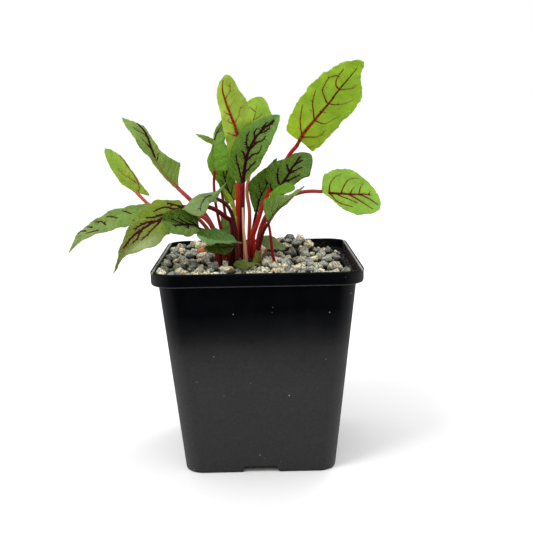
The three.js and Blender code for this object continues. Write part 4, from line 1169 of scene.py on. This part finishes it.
for name, leaf in LEAVES.items():
    piece = make_stalk(name + "_stem", leaf["stalk"], leaf["radii"], leaf["stems"])
    finish_piece(piece, [name + "_stalk"], stem_skin.material)
shoot = make_stalk("young_petiole", YOUNG_STALK, (1.35, 0.35), ("D8927C", "E2B494"), 0.05, 0.0)
finish_piece(shoot, ["young_shoot"], stem_skin.material)
print("stalk triangles:", sum(v for k, v in TRIANGLES.items() if k.endswith("_stem")))

# %% [markdown]
# The top dressing is crushed grit, grey-blue and cream, mostly 4 to 6 mm across. Scattering it at
# random would leave stones floating or buried, so the code drops them one by one: a stone settles on
# those below, and is kept only if it ends at the bed's level and clear of stalks, leaves and wall.
# Small chips come last and fill the gaps. The resting places are points with a size and a rock number,
# and Geometry Nodes put a stone on each, turned by a seeded draw.

# %% Resting places for the stones
SOIL_TOP = 84.0
DOME = dict(x=-5.0, y=1.0, half_x=16.0, half_y=14.0, top=88.6)
BED_LEVEL = 89.2
MOUNDS = [(15, 30, 19, 4.5), (-26, 34, 24, 1.4)]
DIPS = [(-5, -16, 10, 2.2), (8.5, 14, 10, 3.0), (-6, -27, 9, 2.6), (38, 38, 17, 4.0)]
STONE_SMALL = 1.6
STONE_LARGE = 3.4
STONE_TRIES = 24000
STONE_SEED = 5
CHIP_SMALL = 1.0
CHIP_LARGE = 1.6
CHIP_TRIES = 8000
CHIP_DEPTH = 1.0
BARE_STRIP = 4.2
FIT = 0.84
CLOSE_FIT = 0.92
REST = 0.76
SPACING = 0.95
LOW_ENOUGH = 98
LOW_LEAF = 102


def soil_height(x, y):
    """The soil's top, with its dome at the crown."""
    inside = 1 - ((x - DOME["x"]) / DOME["half_x"]) ** 2 - ((y - DOME["y"]) / DOME["half_y"]) ** 2
    return SOIL_TOP if inside <= 0 else SOIL_TOP - 1 + (DOME["top"] - SOIL_TOP + 1) * math.sqrt(inside)


def bed_level(x, y):
    """The highest that a stone's middle may lie."""
    level = BED_LEVEL
    for cx, cy, reach, rise in MOUNDS + [(*dip[:3], -dip[3]) for dip in DIPS]:
        level += rise * max(0.0, 1 - ((x - cx) ** 2 + (y - cy) ** 2) / reach ** 2)
    return level


def inside_wall(x, y, z, size):
    """Whether a stone fits between the walls, which stand wider apart above the ledge."""
    above = z >= LEDGE + size * REST
    half = (SKIRT_HALF if above else wall_half(z)) - WALL - size * FIT
    corner = (RIM_CORNER if above else BASE_CORNER) - WALL - size * FIT * 0.5
    over_x = max(abs(x) - (half - corner), 0)
    over_y = max(abs(y) - (half - corner), 0)
    bare_right = half - BARE_STRIP * min(max((x - 20) / 20, 0), 1)
    return abs(x) < half and x < bare_right and abs(y) < half and math.hypot(over_x, over_y) < corner


def obstacles():
    """Points and sizes of everything that the stones keep clear of."""
    spots, sizes = [], []
    routes = [(leaf["stalk"], 80, leaf["radii"][0] + 0.1) for leaf in LEAVES.values()]
    for points, steps, size in routes + [(YOUNG_STALK, 60, 1.5)]:
        line, _, _ = trace(stalk_route(points), steps)
        spots.append(line[line[:, 2] < LOW_ENOUGH])
        sizes.append(np.full(len(spots[-1]), size))
    t, u = (g.ravel() for g in np.meshgrid(np.linspace(0, 1, 14), np.linspace(-1, 1, 9)))
    for leaf in LEAVES.values():
        if min(p[2] for p in leaf["rib"]) < LOW_LEAF:
            spots.append(Blade(leaf).point(t, u)[0])
            sizes.append(np.full(len(t), 0.5))
    return np.concatenate(spots), np.concatenate(sizes)


def settle_stones(seed):
    """Places and sizes of the stones, one to a row."""
    draw = random.Random(seed)
    block_at, block_size = obstacles()
    placed = np.zeros((0, 4))
    half = SKIRT_HALF - WALL
    for attempt in range(STONE_TRIES + CHIP_TRIES):
        chip = attempt >= STONE_TRIES
        x, y = draw.uniform(-half, half), draw.uniform(-half, half)
        if chip:
            size = draw.uniform(CHIP_SMALL, CHIP_LARGE)
        else:
            size = draw.triangular(STONE_SMALL, STONE_LARGE, STONE_LARGE)
        z = soil_height(x, y) + size * 0.6
        if max(abs(x), abs(y)) > wall_half(LEDGE) - WALL - size * FIT:
            z = LEDGE + size * REST
        gap = (placed[:, 3] + size) * SPACING
        away = np.hypot(placed[:, 0] - x, placed[:, 1] - y)
        near = away < gap
        if near.any():
            z = max(z, (placed[near, 2] + np.sqrt(gap[near] ** 2 - away[near] ** 2)).max())
        level = bed_level(x, y) - (CHIP_DEPTH if chip else 0.0)
        if z > level + draw.uniform(-0.3, 0.5) or not inside_wall(x, y, z, size):
            continue
        if (np.linalg.norm(block_at - (x, y, z), axis=1) < block_size + size * CLOSE_FIT).any():
            continue
        placed = np.concatenate([placed, [[x, y, z, size]]])
    return placed


stones_at = settle_stones(STONE_SEED)
print("stones:", len(stones_at), "top:", round(float((stones_at[:, 2] + stones_at[:, 3]).max()), 1))

# %% [markdown]
# A stone's shape is a block cut by flat planes from all sides, as crushed rock is, with worn edges and
# flat shading. Crumbs of soil are set out the same way, from small lumps.

# %% Shapes and the tree that sets them out
STONE_CUTS = 11
STONE_BLOCK = 3.0
STONE_REACH = 1.16
CUT_TURN = 2.4
WORN_EDGE = 0.06


def crushed_stone(name, draw):
    shape = bmesh.new()
    bmesh.ops.create_cube(shape, size=STONE_BLOCK)
    for k in range(STONE_CUTS):
        rise = 1 - (2 * k + 1) / STONE_CUTS
        angle = CUT_TURN * k + draw.uniform(-0.5, 0.5)
        flat = math.sqrt(1 - rise * rise)
        tilt = rise + draw.uniform(-0.25, 0.25)
        way = Vector((flat * math.cos(angle), flat * math.sin(angle), tilt)).normalized()
        cut = bmesh.ops.bisect_plane(
            shape, geom=shape.verts[:] + shape.edges[:] + shape.faces[:],
            plane_co=way * draw.uniform(0.72, 1.0), plane_no=way, clear_outer=True)
        edges = [e for e in cut["geom_cut"] if isinstance(e, bmesh.types.BMEdge)]
        bmesh.ops.edgeloop_fill(shape, edges=edges)
    bmesh.ops.dissolve_degenerate(shape, dist=0.02, edges=shape.edges[:])
    bmesh.ops.bevel(
        shape, geom=shape.edges[:], offset=WORN_EDGE, segments=1, affect="EDGES", clamp_overlap=True)
    stretch = (1.12, draw.uniform(0.78, 0.98), draw.uniform(0.66, 0.86))
    bmesh.ops.scale(shape, vec=stretch, verts=shape.verts[:])
    for vert in shape.verts:
        vert.co *= min(1.0, STONE_REACH / vert.co.length)
    bmesh.ops.recalc_face_normals(shape, faces=shape.faces)
    mesh = mesh_of(shape, name)
    mesh.shade_flat()
    return bpy.data.objects.new(name, mesh)


def lump(name, draw):
    shape = bmesh.new()
    bmesh.ops.create_icosphere(shape, subdivisions=1, radius=1.0)
    for vert in shape.verts:
        vert.co *= draw.uniform(0.7, 1.25)
    mesh = mesh_of(shape, name)
    mesh.shade_smooth()
    return bpy.data.objects.new(name, mesh)


def scatter_tree(name):
    """Puts a shape on each point of a mesh, sized by its 'size' value and turned by a seeded draw."""
    tree = bpy.data.node_groups.new(name, "GeometryNodeTree")
    sockets = {}
    kinds = {"Places": "Geometry", "Shapes": "Collection", "Seed": "Int", "Finish": "Material"}
    for label, kind in kinds.items():
        socket = tree.interface.new_socket(label, in_out="INPUT", socket_type="NodeSocket" + kind)
        sockets[label] = socket.identifier
    tree.interface.new_socket("Pieces", in_out="OUTPUT", socket_type="NodeSocketGeometry")

    def add(kind, values=None, **wires):
        """A node with set values, and wires from outputs into its inputs."""
        node = tree.nodes.new(kind)
        for key, value in (values or {}).items():
            node.inputs[key].default_value = value
        for key, output in wires.items():
            tree.links.new(output, node.inputs[key])
        return node

    start = add("NodeGroupInput").outputs
    shapes = add("GeometryNodeCollectionInfo", {"Separate Children": True, "Reset Children": True},
                 Collection=start["Shapes"])
    size = add("GeometryNodeInputNamedAttribute", {"Name": "size"})
    turn_by = add("FunctionNodeRandomValue")
    turn_by.data_type = "FLOAT_VECTOR"
    turn_by.inputs["Max"].default_value = (2 * math.pi, 2 * math.pi, 2 * math.pi)
    tree.links.new(start["Seed"], turn_by.inputs["Seed"])
    rotation = add("FunctionNodeEulerToRotation", Euler=turn_by.outputs["Value"])
    place = add("GeometryNodeInstanceOnPoints", {"Pick Instance": True}, Points=start["Places"],
                Instance=shapes.outputs["Instances"], Rotation=rotation.outputs["Rotation"],
                Scale=size.outputs["Attribute"])
    real = add("GeometryNodeRealizeInstances", Geometry=place.outputs["Instances"])
    paint = add("GeometryNodeSetMaterial", Geometry=real.outputs["Geometry"], Material=start["Finish"])
    add("NodeGroupOutput", Pieces=paint.outputs["Geometry"])
    return tree, sockets


def scatter(name, places, carried, shapes, seed, finish):
    """One piece with a shape on every place. Sizes come in mm and are stored in metres."""
    group = bpy.data.collections.new(name + "_shapes")
    bpy.context.scene.collection.children.link(group)
    for shape in shapes:
        group.objects.link(shape)
    tree, sockets = scatter_tree(name + "_tree")
    carried = {**carried, "size": np.array(carried["size"]) * MM}
    holder = new_object(name + "_places", make_mesh(name + "_places", places, [], **carried))
    modifier = holder.modifiers.new("scatter", "NODES")
    modifier.node_group = tree
    for label, value in (("Shapes", group), ("Seed", seed), ("Finish", finish)):
        modifier[sockets[label]] = value
    piece = evaluated_copy(holder, name)
    for shape in shapes:
        bpy.data.objects.remove(shape)
    bpy.data.collections.remove(group)
    return piece


# %% [markdown]
# Each stone has one number that picks its rock: dark blue-grey, grey, cream or sandy. One stone at the
# left is rusty, as in the photograph. Salt-and-pepper grains and a rough bump finish it. A stone's
# lower part is painted dark, as painted shade in the gaps between the stones: the finish knows each
# stone's resting height and size, and so how far up the stone a point lies.

# %% Grit finish and the bed
STONE_SHAPES = 12
SHAPE_SEED = 21
TURN_SEED = 3
RUSTY_AT = (-29, 20)
RUSTY = 0.985

grit = Recipe("crushed_grit")
rock = grit.ramp(grit.carried("rock"), [
    (0.0, "80847C"), (0.14, "A2A69C"), (0.32, "B8B9AA"), (0.46, "C6C1AA"), (0.58, "D2C8AA"),
    (0.72, "DED4B4"), (0.88, "EAE2CC"), (RUSTY, "C87850")], stepped=True)
grains = grit.ramp(grit.noise(1000, 4, 0.72), [
    (0.38, (0.16, 0.18, 0.19)), (0.47, (0.80, 0.80, 0.78)),
    (0.54, (1.16, 1.15, 1.10)), (0.62, (1.7, 1.68, 1.6))])
rock = grit.times(rock, grains)
rock = grit.mix(grit.between(grit.noise(330, 3), 0.52, 0.72, 0.0, 0.3), rock, "857C5E")
# Painted shade: each stone's lower part is painted near black, standing in for the shade in the gaps
# between stones.
_, _, up = grit.axes()
rise = grit.combine(grit.combine(up, grit.carried("rest"), "SUBTRACT"), grit.carried("size"), "DIVIDE")
rise = grit.combine(rise, grit.between(grit.noise(700, 2), 0, 1, -0.2, 0.2))
rock = grit.mix(grit.between(rise, -0.12, 0.45, 0.96, 0.0), rock, "120E0A")
grit.set(Base_Color=rock, Roughness=0.9)
grit.bump(grit.noise(1500, 4, 0.6), 0.55, 0.0003)

draw = random.Random(SHAPE_SEED)
stone_shapes = [crushed_stone(f"stone_{k}", draw) for k in range(STONE_SHAPES)]
x, y, z, sizes = stones_at.T
# Besides the random draw, the pick leans to paler rocks towards the right and the front; this lean is
# painted light, for the brighter light on those stones.
rocks = np.array([draw.random() for _ in x]) * 0.98 + 0.0010 * x - 0.0012 * y - 0.02
rocks = np.clip(rocks, 0.0, 0.98)
rocks[np.argmin(np.hypot(x - RUSTY_AT[0], y - RUSTY_AT[1]) - z * 2)] = RUSTY + 0.005
bed = scatter("grit_bed", stones_at[:, :3], {"size": sizes, "rock": rocks, "rest": z * MM},
              stone_shapes, TURN_SEED, grit.material)
finish_piece(bed, ["gravel"])
print("grit triangles:", TRIANGLES["grit_bed"])

# %% [markdown]
# Wet crumbs of soil cling to the bare wall above the grit and lie in the gaps at the crown. They are
# the same kind of scatter, with small lumps in the soil's finish.

# %% Soil crumbs
LUMP_SHAPES = 4
CRUMB_SEED = 31
CRUMB_TURN_SEED = 8
WALL_CRUMBS = 700
CROWN_CRUMBS = 900
CRUMB_TOP = 90.6
CRUMB_SPREAD = 1.9
STRAIGHT_HALF = 36
BAND_CORNER = SKIRT_HALF - RIM_CORNER


def wall_crumbs(draw, count):
    """Places on the band's inner face and on the ledge, thick on the right, thin elsewhere."""
    places, sizes = [], []
    while len(places) < count:
        side = draw.choice(("right", "right", "right", "left", "back", "front"))
        along = draw.uniform(-STRAIGHT_HALF, STRAIGHT_HALF)
        z = CRUMB_TOP - abs(draw.gauss(0, CRUMB_SPREAD))
        size = draw.uniform(0.18, 0.6)
        out = SKIRT_HALF - WALL - size * 0.4
        if z < LEDGE + 0.6:
            z = LEDGE + draw.uniform(0.0, 0.5)
            out = draw.uniform(wall_half(z) - WALL - 0.6, out)
        spots = {"right": (out, along), "left": (-out, along), "back": (along, out), "front": (along, -out)}
        x, y = spots[side]
        if math.hypot(max(abs(x) - BAND_CORNER, 0), max(abs(y) - BAND_CORNER, 0)) > RIM_CORNER - WALL:
            continue
        places.append((x, y, z))
        sizes.append(size)
    return places, sizes


def crown_crumbs(draw, count):
    """Places on the soil's dome between the stalks."""
    places, sizes = [], []
    for _ in range(count):
        angle, reach = draw.uniform(0, 2 * math.pi), math.sqrt(draw.random())
        x = DOME["x"] + DOME["half_x"] * reach * math.cos(angle)
        y = DOME["y"] + DOME["half_y"] * reach * math.sin(angle)
        places.append((x, y, soil_height(x, y) + draw.uniform(-0.1, 0.35)))
        sizes.append(draw.uniform(0.3, 0.95))
    return places, sizes


draw = random.Random(CRUMB_SEED)
lumps = [lump(f"lump_{k}", draw) for k in range(LUMP_SHAPES)]
wall_places, wall_sizes = wall_crumbs(draw, WALL_CRUMBS)
crown_places, crown_sizes = crown_crumbs(draw, CROWN_CRUMBS)
crumbs = scatter("soil_crumbs", wall_places + crown_places, {"size": wall_sizes + crown_sizes},
                 lumps, CRUMB_TURN_SEED, peat.material)
finish_piece(crumbs)
print("crumb triangles:", TRIANGLES["soil_crumbs"])

# %% [markdown]
# At the foot of the older stalks sit papery sheaths, the remains of the tubes that wrapped the young
# leaves. Each is an open strip curled round its stalk, ragged at the top, with a thin wall from a
# Solidify modifier.

# %% Papery sheaths
SHEATH_FOOT = 86.5
SHEATH_THICK = 0.18
SHEATH_COLUMNS = 13
ROUTE_STEPS = 200

papery = Recipe("papery_sheath")
fibres = papery.noise(1.0, 4, 0.6, papery.stretch((2600, 2600, 350)))
dry = papery.ramp(fibres, [(0.3, "4A4A1A"), (0.55, "7A7A30"), (0.75, "9A8A4C")])
papery.set(Base_Color=dry, Roughness=0.75)
papery.bump(fibres, 0.5, 0.0003)


def make_sheath(name, leaf_name, facing, height, spread, seed):
    """A sheath on a leaf's stalk: which way it faces and how far round it reaches, both in radians."""
    leaf = LEAVES[leaf_name]
    draw = random.Random(seed)
    spots, tangents, length = trace(stalk_route(leaf["stalk"]), ROUTE_STEPS)
    start = int(np.argmax(spots[:, 2] > SHEATH_FOOT))
    count = int(height / (length / ROUTE_STEPS))
    rows = spots[start:start + count:3]
    ups = tangents[start:start + count:3]
    points = []
    for row, (spot, up) in enumerate(zip(rows, ups)):
        share = row / (len(rows) - 1)
        aim = np.array([math.cos(facing), math.sin(facing), 0.0])
        aim -= (aim @ up) * up
        aim /= np.linalg.norm(aim)
        side = np.cross(up, aim)
        radius = leaf["radii"][0] * 1.12 + 0.25 + 0.5 * share ** 2
        for k in range(SHEATH_COLUMNS):
            angle = (k / (SHEATH_COLUMNS - 1) - 0.5) * spread * (1 - 0.45 * share)
            sag = draw.uniform(-0.25, 0.25) if row == len(rows) - 1 else 0.0
            points.append(spot + (aim * math.cos(angle) + side * math.sin(angle)) * radius + up * sag)
    index = np.arange(len(points)).reshape(-1, SHEATH_COLUMNS)
    faces = np.stack([index[:-1, :-1], index[:-1, 1:], index[1:, 1:], index[1:, :-1]], -1).reshape(-1, 4)
    holder = new_object(name + "_raw", make_mesh(name + "_raw", points, faces.tolist()))
    holder.modifiers.new("wall", "SOLIDIFY").thickness = SHEATH_THICK * MM
    finish_piece(evaluated_copy(holder, name), material=papery.material)


make_sheath("sheath_front", "folded_right", -1.0, 9.5, 3.6, 1)
make_sheath("sheath_right", "rounded_right", -0.9, 6.0, 3.0, 2)
make_sheath("sheath_left", "grey_green_left", -2.2, 6.5, 3.2, 3)
make_sheath("sheath_back", "small_behind_left", -1.6, 7.5, 3.4, 4)
print("pieces:", len(TRIANGLES), "triangles:", sum(TRIANGLES.values()))
